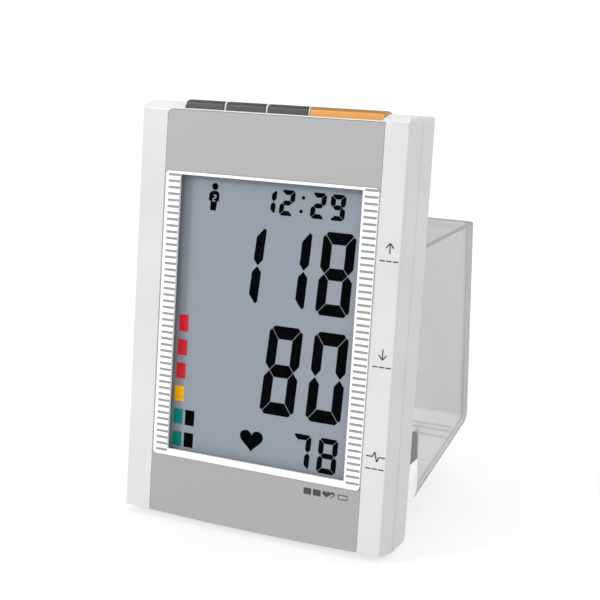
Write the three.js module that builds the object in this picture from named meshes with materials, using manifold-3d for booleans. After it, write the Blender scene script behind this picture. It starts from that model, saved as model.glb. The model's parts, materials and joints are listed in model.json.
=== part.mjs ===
// A desk blood pressure monitor: a display unit that leans back, with a clear bin for the cuff behind it.
// Sizes are in millimetres. Everything in the display unit is drawn in the unit's own axes, where X runs
// to the right, Y from the front face to the back, and Z up the face. The group that holds them leans
// back as a whole. The bin, its catches and the feet stand level, so they are drawn in level axes that
// share the same zero point: the middle of the unit's front bottom edge.

import * as THREE from 'three';
import { mergeVertices } from 'three/addons/utils/BufferGeometryUtils.js';
import Module from 'manifold-3d';

const wasm = await Module();
wasm.setup();

// Display unit, outside
const UNIT_WIDTH = 120;
const UNIT_HEIGHT = 173.4;
const LEAN = THREE.MathUtils.degToRad(7.74);
const TOP_CORNER = { front: 4, back: 1.2 };
const OUTER_EDGE = 0.8;
const BROW = { depth: 9, drop: 4 };
const WALL = 2.2;
const FRONT_WALL = 2.8;
const INNER_BOTTOM = 2.2;
const INNER_BOTTOM_CORNER = 1;
const PARTING_Y = 13;
const BASE_DROP = 3.2;
const BASE_FRONT_Y = 13.5;
const BASE_BACK_MARGIN = 2.9;
const BASE_EDGE = 3.4;
const CHIN_BOW = 1.1;
const CHIN_STEPS = 12;

// Clearances
const SEAT_GAP = 0.3;
const SLIDE_GAP = 0.35;
const LIFT_GAP = 0.5;

// Front face: grey panel, white window frame and its lens
const PANEL_MARGIN = { left: 12.4, right: 10.4, top: 3.4 };
const PANEL_CORNER = 2.6;
const PANEL_SHARP_CORNER = 0.4;
const PANEL_THICK = 0.8;
const FRAME_MARGIN = { left: 0.7, right: 0.3, top: 25.2 };
const FRAME_BOTTOM = 24.8;
const FRAME_CORNER = 1.6;
const FRAME_PROUD = 0.4;
const FRAME_BAND = { left: 6.8, right: 6.9, bottom: 2.8, top: 1.2 };
const VIEW_CORNER = 0.3;
const LENS_LAP = 2.6;
const LENS_LAP_TOP = 0.8;
const LENS_LAP_BOTTOM = 1.6;
const LENS_THICK = 1.2;

// Display behind the lens
const GLASS_LAP = 3;
const GLASS_LAP_BOTTOM = 2;
const GLASS_LEDGE = 6.4;
const GLASS_THICK = 2.2;
const REFLECTOR_THICK = 0.8;
const HOLDER_RIM = 4.4;
const HOLDER_END = 2;
const HOLDER_LIP = 0.9;
const HOLDER_POST = 1.2;
const POST_RADIUS = 2;
const POST_INSET = 2.2;
const ZEBRA_WIDTH = 2.5;
const ZEBRA_MARGIN = 1;

// Boards and what is on them
const BOARD_THICK = 1.6;
const MAIN_BOARD = { pastSensor: 0.5, overBay: 4, overGlass: 1 };
const BOARD_POST = { overBoardBottom: 6, overSensor: 7, underBoardTop: 3 };
const PROCESSOR = { x: 4, underBoardTop: 31, size: 16, height: 1.8 };
const BUZZER = { fromBoardRight: 18.1, underBoardTop: 23, radius: 6, height: 5 };
const SENSOR = { fromManifoldLeft: 5, overBoardBottom: 16.5, width: 8, length: 9, height: 5.2, nozzle: 4 };
const BUTTON_BOARD_DROP = 17.8;
const BUTTON_BOARD_BACK = 12.4;
const BOARD_SLOT_WIDTH = 3;
const BOARD_SLOT_HEIGHT = 7;
const BOARD_SLOT_BITE = 1.5;

// Buttons along the top edge
const GREY_BUTTON_WIDTH = 17.7;
const GREY_BUTTON_SPACE = 1.3;
const START_BUTTON_SPACE = 1.1;
const BUTTON_GAP = 0.3;
const BUTTON_ROW_MARGIN = { left: 19.8, right: 11.6 };
const BUTTON_FRONT_Y = 1.9;
const BUTTON_BACK_Y = 9.8;
const BUTTON_PROUD = 1;
const BUTTON_NOSE = 1.9;
const BUTTON_EDGE = 0.8;
const BUTTON_CORNER = { left: 1.6, right: 0.3, rowEnd: 1.8 };
const BUTTON_TRAVEL = 0.8;
const BUTTON_SKIRT_DROP = 8.2;
const BUTTON_FLANGE = { thick: 1.2, reach: 1 };
const BUTTON_STEM = { size: 4, y: 6.7 };
const BUTTON_LIP_DROP = 2.7;
const BUTTON_BLOCK_DROP = 6.4;
const BUTTON_BLOCK_WALL = 2.4;
const SWITCH_SIZE = 6;
const SWITCH_HEIGHT = 3.3;
const SWITCH_NUB = { radius: 1.7, height: 0.9 };

// Battery bay
const CELL_COUNT = 4;
const CELL_RADIUS = 7.25;
const CELL_LENGTH = 50.5;
const CELL_NUB = { radius: 2.75, height: 1.2 };
const CELL_SPACE = 0.5;
const BAY_OVER_PUMP = 2.7;
const BAY_WALL = 2.4;
const BAY_FLOOR = 1;
const BAY_GAP = 0.1;
const DOOR_LEDGE = 1.2;
const DOOR_SINK = 0.4;
const DOOR_GRIP = { count: 4, width: 16, pitch: 2.4, thick: 1, inset: 7 };
const CONTACT_THICK = 0.5;
const CONTACT_INSET = 0.8;
const CONTACT_CONE = { height: 1.9, base: 5, tip: 3.4, root: 0.2 };

// Air line
const PUMP_RADIUS = 9;
const PUMP_FLOOR_GAP = 0.1;
const PUMP_SIDES = 28;
const MOTOR_LENGTH = 24;
const MOTOR_HUB = { radius: 3, height: 1.6 };
const PUMP_HEAD_LENGTH = 20;
const NOZZLE_RADIUS = 1.6;
const NOZZLE_LENGTH = 6;
const SLEEVE_THICK = 1;
const SLEEVE_WIDTH = 5;
const SADDLE_WIDTH = 4;
const SADDLE_RISE = 0.4;
const TUBE_RADIUS = 2.25;
const TUBE_BEND = 6.2;
const TUBE_LEAD = 1.25;
const MANIFOLD = { fromSide: 9.5, width: 17, height: 10, depth: 7, overBayBottom: 3, toBay: 1.1 };
const SOCKET_RADIUS = 5.2;
const SOCKET_BORE = 3.2;
const SOCKET_BORE_DEPTH = 7.5;
const SOCKET_FLANGE = { reach: 1.6, thick: 1.4 };
const SOCKET_SINK = 0.2;
const VALVE = { radius: 4.5, length: 16, capRadius: 2.2, capHeight: 3 };
const JACK = { width: 9, height: 7.6, length: 12.5, bore: 3.1, rim: 0.6, pin: 1, floor: 2, underBayTop: 6.6 };

// Screws
const SCREW = { shank: 1.2, head: 2.7, headHeight: 2, length: 17 };
const SCREW_BOSS = 3.6;
const SCREW_SINK = 2.6;
const LOWER_SCREW = { fromSide: 16, z: 12 };
const UPPER_SCREW = { fromSide: 5.3, fromTop: 25.4 };
const BOARD_SCREW = { shank: 1, head: 1.9, headHeight: 1.2, length: 5.6 };

// Cuff bin, in level axes
const BIN_INSET = 4;
const BIN_BACK = 112.1;
const BIN_RIM = 114.2;
const BIN_WALL = 1.8;
const BIN_LIP = { thick: 0.7, height: 2 };
const BIN_CORNER = 4.5;
const BIN_FLOOR_BEND = 5;
const BIN_FLOOR_SLOPE = THREE.MathUtils.degToRad(13.8);
const BIN_FLOOR_Y = 50.5;
const BIN_FLOOR_Z = 5.2;
const FLANGE_THICK = 1.8;
const FLANGE_WIDTH = 5.6;

// What carries the bin: rails, side brackets and a heel on the back of the unit
const RAIL_LIP = 1.6;
const RAIL_WEB = 1.8;
const RAIL_LAP = 3;
const RAIL_MARGIN = 6;
const BRACKET_BACK = 48.2;
const BRACKET_BOTTOM = 7.8;
const BRACKET_STEP = 24;
const BRACKET_GUIDE = 13.1;
const BRACKET_CORNER = 4.5;
const BRACKET_EDGE = 0.6;
const BRACKET_PLATE = 1.8;
const CATCH_THICK = 3;
const CATCH_TRAVEL = 1.6;
const CATCH_CORNER = 3.5;
const CATCH_SINK = { side: 0.1, back: 0.4 };
const TONGUE = { fromBack: 6.2, width: 7, overStep: 3.7, height: 5, reach: 2 };
const HEEL_MARGIN = 7;
const HEEL_BACK = 50;
const HEEL_EDGE = 2;
const HEEL_WALL = 1.6;
const HEEL_HOLLOWS = 3;

// Rubber feet
const FOOT_RADIUS = 4;
const FOOT_HEIGHT = 1.8;
const FOOT_PROUD = 0.6;
const FRONT_FOOT = { fromSide: 14, fromBack: 7.5 };
const BACK_FOOT = { fromSide: 7, fromBack: 6.5 };

// How deep joined shapes run into each other, how far cutting shapes run past what they cut, a length
// larger than the whole object, and how finely curves are divided
const FUSE = 1;
const PAST = 2;
const FAR = 240;
const ROUND_SIDES = 20;
const SMALL_SIDES = 12;
const ARC_STEPS = 5;
const CURVE_STEPS = 7;

// Shapes

function toSolid(geometry) {
  geometry.deleteAttribute('normal');
  geometry.deleteAttribute('uv');
  const merged = mergeVertices(geometry, 1e-4);
  const corners = Array.from(merged.index.array);
  const triVerts = [];
  for (let i = 0; i < corners.length; i += 3) {
    const [a, b, c] = corners.slice(i, i + 3);
    if (a !== b && b !== c && c !== a) triVerts.push(a, b, c);
  }
  return new wasm.Manifold(new wasm.Mesh({
    numProp: 3,
    vertProperties: new Float32Array(merged.attributes.position.array),
    triVerts: new Uint32Array(triVerts),
  }));
}

function toGeometry(solid) {
  const { vertProperties, triVerts } = solid.getMesh();
  const geometry = new THREE.BufferGeometry();
  geometry.setAttribute('position', new THREE.BufferAttribute(vertProperties, 3));
  geometry.setIndex(new THREE.BufferAttribute(triVerts, 1));
  geometry.computeVertexNormals();
  return geometry;
}

const asSolid = (shape) => (shape.isBufferGeometry ? toSolid(shape) : shape);
const join = (first, ...rest) => rest.reduce((sum, next) => sum.add(asSolid(next)), asSolid(first));
const cut = (first, ...tools) => tools.reduce((left, tool) => left.subtract(asSolid(tool)), asSolid(first));
const common = (first, second) => asSolid(first).intersect(asSolid(second));

// Spans: a low and a high value along one axis
const around = (middle, width) => [middle - width / 2, middle + width / 2];
const grow = ([low, high], by) => [low - by, high + by];
const everywhere = [-FAR, FAR];

// The left and right of the object, and a span given for the right side as seen on either one
const bothSides = [{ side: -1, label: 'left' }, { side: 1, label: 'right' }];
const sided = (side, near, far) => (side > 0 ? [near, far] : [-far, -near]);

// Level shapes seen in the leaning unit's axes, and the other way round
const toUnitAxes = (shape) => toGeometry(asSolid(shape)).rotateX(LEAN);
const toLevelAxes = (shape) => toGeometry(asSolid(shape)).rotateX(-LEAN);

function block([x0, x1], [y0, y1], [z0, z1]) {
  const geometry = new THREE.BoxGeometry(x1 - x0, y1 - y0, z1 - z0);
  return geometry.translate((x0 + x1) / 2, (y0 + y1) / 2, (z0 + z1) / 2);
}

// A round bar along one axis; the centre is given by the two other coordinates in their usual order.
function rod(axis, radius, [from, to], [a, b], sides = ROUND_SIDES) {
  const geometry = new THREE.CylinderGeometry(radius, radius, to - from, sides);
  const middle = (from + to) / 2;
  if (axis === 'x') return geometry.rotateZ(-Math.PI / 2).translate(middle, a, b);
  if (axis === 'y') return geometry.translate(a, middle, b);
  return geometry.rotateX(Math.PI / 2).translate(a, b, middle);
}

// A flat plate whose outline lies in X and Z, between two depths.
function plate(shape, [y0, y1], bevel = 0) {
  const geometry = new THREE.ExtrudeGeometry(shape, {
    depth: y1 - y0 - 2 * bevel,
    bevelEnabled: bevel > 0,
    bevelSize: bevel,
    bevelThickness: bevel,
    bevelOffset: -bevel,
    bevelSegments: 3,
    curveSegments: ARC_STEPS,
  });
  return geometry.rotateX(Math.PI / 2).translate(0, y1 - bevel, 0);
}

// A closed skin over sections along X. Each ring has the same count of [y, z] points, anticlockwise
// as seen from the +X side.
function loft(stations) {
  const count = stations[0].ring.length;
  const positions = stations.flatMap(({ x, ring }) => ring.flatMap(([y, z]) => [x, y, z]));
  const indices = [];
  for (let s = 0; s + 1 < stations.length; s += 1) {
    for (let j = 0; j < count; j += 1) {
      const next = (j + 1) % count;
      const [a, b] = [s * count + j, s * count + next];
      indices.push(a, b, b + count, a, b + count, a + count);
    }
  }
  const last = (stations.length - 1) * count;
  const capOf = ({ ring }) => (
    THREE.ShapeUtils.triangulateShape(ring.map(([y, z]) => new THREE.Vector2(y, z)), [])
  );
  for (const [a, b, c] of capOf(stations[0])) indices.push(c, b, a);
  for (const [a, b, c] of capOf(stations.at(-1))) indices.push(last + a, last + b, last + c);
  const geometry = new THREE.BufferGeometry();
  geometry.setAttribute('position', new THREE.Float32BufferAttribute(positions, 3));
  geometry.setIndex(indices);
  return geometry;
}

// A bar along X whose section is a list of points in Y and Z.
const bar = (points, [x0, x1]) => loft([{ x: x0, ring: points }, { x: x1, ring: points }]);

// Points of an arc in Y and Z, with its angles in degrees.
function arc([cy, cz], radius, from, to, steps = ARC_STEPS) {
  return Array.from({ length: steps + 1 }, (_, i) => {
    const angle = THREE.MathUtils.degToRad(from + ((to - from) * i) / steps);
    return [cy + radius * Math.cos(angle), cz + radius * Math.sin(angle)];
  });
}

// An outline in X and Z with its corner radii: bottom left, bottom right, top right, top left.
function rounded([x0, x1], [z0, z1], [bl, br, tr, tl]) {
  const shape = new THREE.Shape();
  shape.moveTo(x0 + bl, z0);
  shape.lineTo(x1 - br, z0);
  shape.absarc(x1 - br, z0 + br, br, -Math.PI / 2, 0);
  shape.lineTo(x1, z1 - tr);
  shape.absarc(x1 - tr, z1 - tr, tr, 0, Math.PI / 2);
  shape.lineTo(x0 + tl, z1);
  shape.absarc(x0 + tl, z1 - tl, tl, Math.PI / 2, Math.PI);
  shape.lineTo(x0, z0 + bl);
  shape.absarc(x0 + bl, z0 + bl, bl, Math.PI, Math.PI * 1.5);
  return shape;
}

// Materials

const material = (color, roughness, metalness = 0) => () => (
  new THREE.MeshStandardMaterial({ color, roughness, metalness })
);
const whiteShell = material(0xebebe9, 0.45);
const greyPanel = material(0xb4b4b4, 0.4);
const whiteFrame = material(0xf7f7f7, 0.4);
const clearLens = material(0xdde3e8, 0.08);
const liquidCrystal = material(0x9aa3ae, 0.3);
const reflectorSheet = material(0xe8e8e0, 0.5);
const innerPlastic = material(0xd8d8d2, 0.6);
const circuitBoard = material(0x2f6b3c, 0.5);
const blackPart = material(0x202022, 0.5);
const greyButton = material(0x5c5c5c, 0.5);
const orangeButton = material(0xe99a45, 0.45);
const cellJacket = material(0x3c5a78, 0.35, 0.4);
const nickel = material(0xc4c2b8, 0.3, 0.9);
const steel = material(0x8f9296, 0.35, 0.9);
const softRubber = material(0x3a3a3c, 0.85);
const tubing = material(0xbfc4c4, 0.6);
const clearPlastic = material(0xc9cccd, 0.12);
const darkGrey = material(0x6f7072, 0.5);

// Scene

const monitor = new THREE.Group();
const unit = new THREE.Group();
unit.rotation.x = -LEAN;
monitor.add(unit);

function addPiece(group, name, solid, finish, position = [0, 0, 0]) {
  const piece = new THREE.Mesh(toGeometry(asSolid(solid)), finish());
  piece.name = name;
  piece.position.set(...position);
  group.add(piece);
}

// Depths of the stack behind the front face
const lensFront = PANEL_THICK + SEAT_GAP;
const holderFront = FRONT_WALL + SEAT_GAP;
const glassFront = holderFront + SEAT_GAP;
const glassBack = glassFront + GLASS_THICK;
const reflectorFront = glassBack + SEAT_GAP;
const reflectorBack = reflectorFront + REFLECTOR_THICK;
const holderLedge = reflectorBack + SEAT_GAP;
const holderBack = holderLedge + HOLDER_LIP;
const mainBoardFront = holderBack + HOLDER_POST;
const mainBoardBack = mainBoardFront + BOARD_THICK;

// The batteries fill the depth between the display and the back wall, and so set the depth of the unit.
const bayFront = holderBack + BAY_GAP + BAY_FLOOR;
const innerBack = bayFront + 2 * CELL_RADIUS + 2 * SEAT_GAP;
const unitDepth = innerBack + WALL;

// Insides of the walls
const halfWidth = UNIT_WIDTH / 2;
const innerHalf = halfWidth - WALL;
const innerTop = UNIT_HEIGHT - WALL;

// Front face: the panel keeps its distance from the unit's sides and top, the frame from the panel's
// edges, and the view from the frame's.
const panelX = [-halfWidth + PANEL_MARGIN.left, halfWidth - PANEL_MARGIN.right];
const panelTop = UNIT_HEIGHT - PANEL_MARGIN.top;
const frameX = [panelX[0] + FRAME_MARGIN.left, panelX[1] - FRAME_MARGIN.right];
const frameZ = [FRAME_BOTTOM, panelTop - FRAME_MARGIN.top];
const viewX = [frameX[0] + FRAME_BAND.left, frameX[1] - FRAME_BAND.right];
const viewZ = [frameZ[0] + FRAME_BAND.bottom, frameZ[1] - FRAME_BAND.top];

// Widths and heights of the display
const lensX = grow(viewX, LENS_LAP);
const lensZ = [viewZ[0] - LENS_LAP_BOTTOM, viewZ[1] + LENS_LAP_TOP];
const glassX = grow(viewX, GLASS_LAP);
const glassZ = [viewZ[0] - GLASS_LAP_BOTTOM, viewZ[1] + GLASS_LEDGE];
const holderX = grow(glassX, HOLDER_RIM + SEAT_GAP);

// Pump in the bottom of the unit, carried by two rubber sleeves; its air goes up to the manifold.
const sleeveInner = PUMP_RADIUS + SEAT_GAP;
const sleeveOuter = sleeveInner + SLEEVE_THICK;
const pumpY = FRONT_WALL + SEAT_GAP + sleeveOuter;
const pumpZ = INNER_BOTTOM + PUMP_FLOOR_GAP + sleeveOuter;
const bayBottom = pumpZ + sleeveOuter + BAY_OVER_PUMP + BAY_WALL;
const manifoldLeft = -halfWidth + MANIFOLD.fromSide;
const manifoldX = [manifoldLeft, manifoldLeft + MANIFOLD.width];
const manifoldBottom = bayBottom + MANIFOLD.overBayBottom;
const manifoldZ = [manifoldBottom, manifoldBottom + MANIFOLD.height];
const tubeX = manifoldX[1] - TUBE_RADIUS - SEAT_GAP;
const tubeStart = tubeX + TUBE_BEND + TUBE_LEAD;
const nozzleEnd = tubeStart + SEAT_GAP;
const headLeft = nozzleEnd + NOZZLE_LENGTH;
const headRight = headLeft + PUMP_HEAD_LENGTH;
const motorLeft = headRight + SEAT_GAP;
const motorRight = motorLeft + MOTOR_LENGTH;
const sleeves = [
  { name: 'motor_sleeve', x: (motorLeft + motorRight) / 2 },
  { name: 'head_sleeve', x: (headLeft + headRight) / 2 },
];

// Battery bay beside the manifold
const cellPitch = 2 * CELL_RADIUS + CELL_SPACE;
const bayLeft = manifoldX[1] + MANIFOLD.toBay + BAY_WALL;
const bayX = [bayLeft, bayLeft + CELL_COUNT * cellPitch];
const bayHeight = CELL_LENGTH + CONTACT_CONE.height + 2 * CONTACT_THICK + 4 * SEAT_GAP;
const bayZ = [bayBottom, bayBottom + bayHeight];
const doorX = grow(bayX, DOOR_LEDGE);
const doorZ = grow(bayZ, DOOR_LEDGE);

// Main board above the bay, as high as the display
const sensorX = manifoldX[0] + SENSOR.fromManifoldLeft;
const boardX = [sensorX - SENSOR.width / 2 - MAIN_BOARD.pastSensor, holderX[1]];
const boardZ = [bayZ[1] + BAY_WALL + MAIN_BOARD.overBay, glassZ[1] + MAIN_BOARD.overGlass];
const sensorZ = around(boardZ[0] + SENSOR.overBoardBottom, SENSOR.length);

// Inlets in the left side
const socketCentre = [pumpY, (manifoldZ[0] + manifoldZ[1]) / 2];
const jackZ = bayZ[1] - JACK.underBayTop;
const jackCentre = [innerBack - JACK.height / 2 - SEAT_GAP, jackZ];

// Places of the shell screws, the buttons and the board that carries their switches
const lowerScrew = { x: halfWidth - LOWER_SCREW.fromSide, z: LOWER_SCREW.z };
const upperScrew = { x: halfWidth - UPPER_SCREW.fromSide, z: UNIT_HEIGHT - UPPER_SCREW.fromTop };
const onBothSides = (prefix, { x, z }) => (
  bothSides.map(({ side, label }) => ({ name: `${prefix}_${label}`, x: side * x, z }))
);
const shellScrews = [...onBothSides('lower', lowerScrew), ...onBothSides('upper', upperScrew)];

const buttonRow = [-halfWidth + BUTTON_ROW_MARGIN.left, halfWidth - BUTTON_ROW_MARGIN.right];
const greyButtons = ['left_button', 'middle_button', 'right_button'].map((name, i) => {
  const left = buttonRow[0] + i * (GREY_BUTTON_WIDTH + GREY_BUTTON_SPACE);
  return { name, left, right: left + GREY_BUTTON_WIDTH, finish: greyButton };
});
const startLeft = greyButtons.at(-1).right + START_BUTTON_SPACE;
const startButton = { name: 'start_button', left: startLeft, right: buttonRow[1], finish: orangeButton };
const buttons = [...greyButtons, startButton];
const skirtZ = UNIT_HEIGHT - BUTTON_SKIRT_DROP;
const buttonTop = UNIT_HEIGHT + BUTTON_PROUD;

const boardSlots = [buttonRow[0] - 2 * BOARD_SLOT_WIDTH, buttonRow[1] - BOARD_SLOT_WIDTH];
const buttonBoardX = [
  boardSlots[0] + BOARD_SLOT_WIDTH - BOARD_SLOT_BITE + SEAT_GAP,
  boardSlots[1] + BOARD_SLOT_BITE - SEAT_GAP,
];
const buttonBoardBottom = UNIT_HEIGHT - BUTTON_BOARD_DROP;
const buttonBoardZ = [buttonBoardBottom, buttonBoardBottom + BOARD_THICK];
const boardSlotZ = (buttonBoardZ[0] + buttonBoardZ[1]) / 2;

// Bin, its rails, brackets and catches, and the heel under it
const binHalf = halfWidth - BIN_INSET;
const flangeFront = unitDepth + LIFT_GAP;
const flangeBack = flangeFront + FLANGE_THICK;
const flangeInner = binHalf - FLANGE_WIDTH;
const railOuter = flangeInner - SLIDE_GAP;
const railInner = railOuter - RAIL_WEB;
const bracketTop = BRACKET_STEP + BRACKET_GUIDE;
const catchInner = binHalf - CATCH_THICK;
const plateOuter = catchInner - CATCH_TRAVEL - 2 * SEAT_GAP;
const plateInner = plateOuter - BRACKET_PLATE;
const tongueBack = BRACKET_BACK - TONGUE.fromBack;
const tongueY = [tongueBack - TONGUE.width, tongueBack];
const tongueBottom = BRACKET_STEP + TONGUE.overStep;
const tongueZ = [tongueBottom, tongueBottom + TONGUE.height];
const heelX = grow([-plateInner, plateInner], -HEEL_MARGIN);
const backFootY = HEEL_BACK - BACK_FOOT.fromBack;

// Outer form of the display unit

// Where the level plane of the base lies, in the unit's axes.
const baseZ = (y) => (y * Math.sin(LEAN) - BASE_DROP) / Math.cos(LEAN);

// Everything under the unit. The front edge bows down towards the middle of its width; from there the
// surface curves back to the level base, which ends in a rounded edge at the back.
function underside() {
  const reach = halfWidth + PAST;
  const low = -4 * BASE_DROP;
  const back = unitDepth + PAST;
  const flat = baseZ(BASE_FRONT_Y);
  const edgeY = unitDepth - BASE_BACK_MARGIN;
  const backEdge = arc([edgeY, baseZ(edgeY) + BASE_EDGE], BASE_EDGE, 0, -75, 4);
  const stations = Array.from({ length: CHIN_STEPS + 1 }, (_, i) => {
    const x = -reach + (2 * reach * i) / CHIN_STEPS;
    const front = -CHIN_BOW * Math.max(0, 1 - (x / halfWidth) ** 2);
    const chin = [1, 0.75, 0.5, 0.25, 0].map((part) => (
      [BASE_FRONT_Y * part, front + (flat - front) * (1 - (1 - part) ** 2)]
    ));
    const below = [[-PAST, low], [back, low], [back, backEdge[0][1]]];
    return { x, ring: [...below, ...backEdge, ...chin, [-PAST, front]] };
  });
  return loft(stations);
}

// The outline runs down past the base, and the underside trims it.
const belowBase = -3 * BASE_DROP;
const outlineCorners = [2 * OUTER_EDGE, 2 * OUTER_EDGE, TOP_CORNER.back, TOP_CORNER.back];
const outline = rounded([-halfWidth, halfWidth], [belowBase, UNIT_HEIGHT], outlineCorners);

// The front top edge, on which the buttons sit, is rounded as a quarter of an ellipse.
function aboveBrow() {
  const round = Array.from({ length: CURVE_STEPS + 1 }, (_, i) => {
    const angle = (i / CURVE_STEPS) * (Math.PI / 2);
    return [BROW.depth * (1 - Math.cos(angle)), UNIT_HEIGHT - BROW.drop * (1 - Math.sin(angle))];
  });
  return bar([[BROW.depth, FAR], [-PAST, FAR], [-PAST, UNIT_HEIGHT - BROW.drop], ...round], everywhere);
}

// The edges between the top and the sides are round as far back as the parting line, and from there
// they sharpen towards the back.
function aboveTopCorner({ side }) {
  const depths = [-PAST, 0, PARTING_Y, (PARTING_Y + unitDepth) / 2, unitDepth, unitDepth + PAST];
  const radiusAt = (y) => {
    const share = THREE.MathUtils.clamp((y - PARTING_Y) / (unitDepth - PARTING_Y), 0, 1);
    return THREE.MathUtils.lerp(TOP_CORNER.front, TOP_CORNER.back, share);
  };
  const topAt = (x, y) => {
    const radius = radiusAt(y);
    const past = Math.max(0, x - (halfWidth - radius));
    return UNIT_HEIGHT - radius + Math.sqrt(Math.max(0, radius ** 2 - past ** 2));
  };
  const ringAt = (x) => [[depths.at(-1), FAR], [depths[0], FAR], ...depths.map((y) => [y, topAt(x, y)])];
  const stations = Array.from({ length: CURVE_STEPS + 1 }, (_, i) => {
    const x = halfWidth - TOP_CORNER.front * (1 - Math.sin((i / CURVE_STEPS) * (Math.PI / 2)));
    return { x: side * x, ring: ringAt(x) };
  });
  stations.push({ x: side * (halfWidth + PAST), ring: ringAt(halfWidth) });
  return loft(side > 0 ? stations : stations.toReversed());
}

const outerForm = cut(
  plate(outline, [0, unitDepth], OUTER_EDGE),
  underside(),
  aboveBrow(),
  ...bothSides.map(aboveTopCorner),
);

const innerTopCorner = TOP_CORNER.front - WALL;
const cavityCorners = [INNER_BOTTOM_CORNER, INNER_BOTTOM_CORNER, innerTopCorner, innerTopCorner];
const cavity = asSolid(plate(
  rounded([-innerHalf, innerHalf], [INNER_BOTTOM, innerTop], cavityCorners),
  [FRONT_WALL, innerBack],
));

const sideWall = [-halfWidth - PAST, -innerHalf + FUSE];
// Section of the button row in Y and Z, from a low height up to its round nose.
const buttonProfile = (low) => [
  [BUTTON_FRONT_Y, low],
  [BUTTON_BACK_Y, low],
  [BUTTON_BACK_Y, buttonTop - BUTTON_EDGE],
  [BUTTON_BACK_Y - BUTTON_EDGE, buttonTop],
  ...arc([BUTTON_FRONT_Y + BUTTON_NOSE, buttonTop - BUTTON_NOSE], BUTTON_NOSE, 90, 180, 4),
];

const socketHole = () => rod('x', SOCKET_RADIUS + SEAT_GAP, sideWall, socketCentre);
const jackHole = () => rod('x', JACK.bore + JACK.rim + SEAT_GAP, sideWall, jackCentre);
const shankHole = ({ x, z }, span) => rod('y', SCREW.shank + SEAT_GAP, span, [x, z], SMALL_SIDES);

// Front shell

// Room for the buttons: a well for each, with a rib left between two of them.
const wellBottom = skirtZ - BUTTON_TRAVEL - SLIDE_GAP;
const buttonWell = ({ left, right }) => block(
  grow([left, right], BUTTON_GAP),
  grow([BUTTON_FRONT_Y, BUTTON_BACK_Y], SLIDE_GAP),
  [wellBottom, FAR],
);

function frontShell() {
  const wall = common(outerForm, block(everywhere, [-PAST, PARTING_Y], everywhere));
  const buttonBlock = block(
    grow(buttonRow, BUTTON_BLOCK_WALL),
    [FRONT_WALL - FUSE, BUTTON_BACK_Y + BUTTON_BLOCK_WALL],
    [UNIT_HEIGHT - BUTTON_BLOCK_DROP, innerTop + FUSE],
  );
  const ribs = bar(buttonProfile(innerTop), buttonRow);
  const bosses = shellScrews.map(({ x, z }) => (
    rod('y', SCREW_BOSS, [FRONT_WALL - FUSE, PARTING_Y - SEAT_GAP], [x, z])
  ));
  const boardPosts = boardSlots.map((left) => block(
    [left, left + BOARD_SLOT_WIDTH],
    [FRONT_WALL - FUSE, BUTTON_BOARD_BACK + SEAT_GAP],
    around(boardSlotZ, BOARD_SLOT_HEIGHT),
  ));
  const lipZ = [UNIT_HEIGHT - BUTTON_LIP_DROP, FAR];
  const lipCut = block(buttonRow, [-PAST, BUTTON_FRONT_Y], lipZ);
  const panelRecess = plate(panelOutline(SEAT_GAP / 2), [-PAST, lensFront]);
  const window = block(grow(lensX, SEAT_GAP), [-PAST, FRONT_WALL + PAST], grow(lensZ, SEAT_GAP));
  const boardSlot = block(
    grow(buttonBoardX, SEAT_GAP),
    [FRONT_WALL + SEAT_GAP, unitDepth],
    around(boardSlotZ, BOARD_THICK + 2 * SEAT_GAP),
  );
  return cut(
    join(cut(wall, cavity), buttonBlock, ribs, ...bosses, ...boardPosts),
    ...buttons.map(buttonWell),
    lipCut,
    panelRecess,
    window,
    boardSlot,
    socketHole(),
    ...shellScrews.map((place) => shankHole(place, [FRONT_WALL + PAST, PARTING_Y + PAST])),
  );
}

function panelOutline(margin) {
  const corners = [PANEL_SHARP_CORNER, PANEL_SHARP_CORNER, PANEL_SHARP_CORNER, PANEL_CORNER];
  return rounded(grow(panelX, margin), [belowBase - PAST, panelTop + margin], corners);
}

addPiece(unit, 'front_shell', frontShell(), whiteShell);

// What carries the bin, on the back of the unit

// The hollow heel under the bin, which keeps the monitor from tipping back. Its top follows the bin's
// sloping floor.
function heel() {
  const topAt = (y) => BIN_FLOOR_Z + (y - BIN_FLOOR_Y) * Math.tan(BIN_FLOOR_SLOPE) - LIFT_GAP;
  const front = unitDepth - 2 * WALL;
  const body = bar([
    [front, -BASE_DROP],
    [HEEL_BACK - HEEL_EDGE, -BASE_DROP],
    [HEEL_BACK, -BASE_DROP + HEEL_EDGE],
    [HEEL_BACK, topAt(HEEL_BACK)],
    [front, topAt(front)],
  ], heelX);
  const hollowPitch = (heelX[1] - heelX[0] - HEEL_WALL) / HEEL_HOLLOWS;
  const [hollowFront, hollowBack] = [unitDepth + HEEL_WALL, backFootY - FOOT_RADIUS - HEEL_WALL];
  const section = [
    [hollowFront, -BASE_DROP - PAST],
    [hollowBack, -BASE_DROP - PAST],
    [hollowBack, topAt(hollowBack) - HEEL_WALL],
    [hollowFront, topAt(hollowFront) - HEEL_WALL],
  ];
  const hollows = Array.from({ length: HEEL_HOLLOWS }, (_, i) => {
    const left = heelX[0] + HEEL_WALL + i * hollowPitch;
    return bar(section, [left, left + hollowPitch - HEEL_WALL]);
  });
  return cut(body, ...hollows);
}

// Outline of a side bracket, rounded at its low back corner and at its top.
function bracketSection(top, topCorner) {
  const front = unitDepth - WALL;
  return [
    [front, BRACKET_BOTTOM],
    ...arc([BRACKET_BACK - BRACKET_CORNER, BRACKET_BOTTOM + BRACKET_CORNER], BRACKET_CORNER, -90, 0),
    ...arc([BRACKET_BACK - topCorner, top - topCorner], topCorner, 0, 90),
    [front, top],
  ];
}

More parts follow.
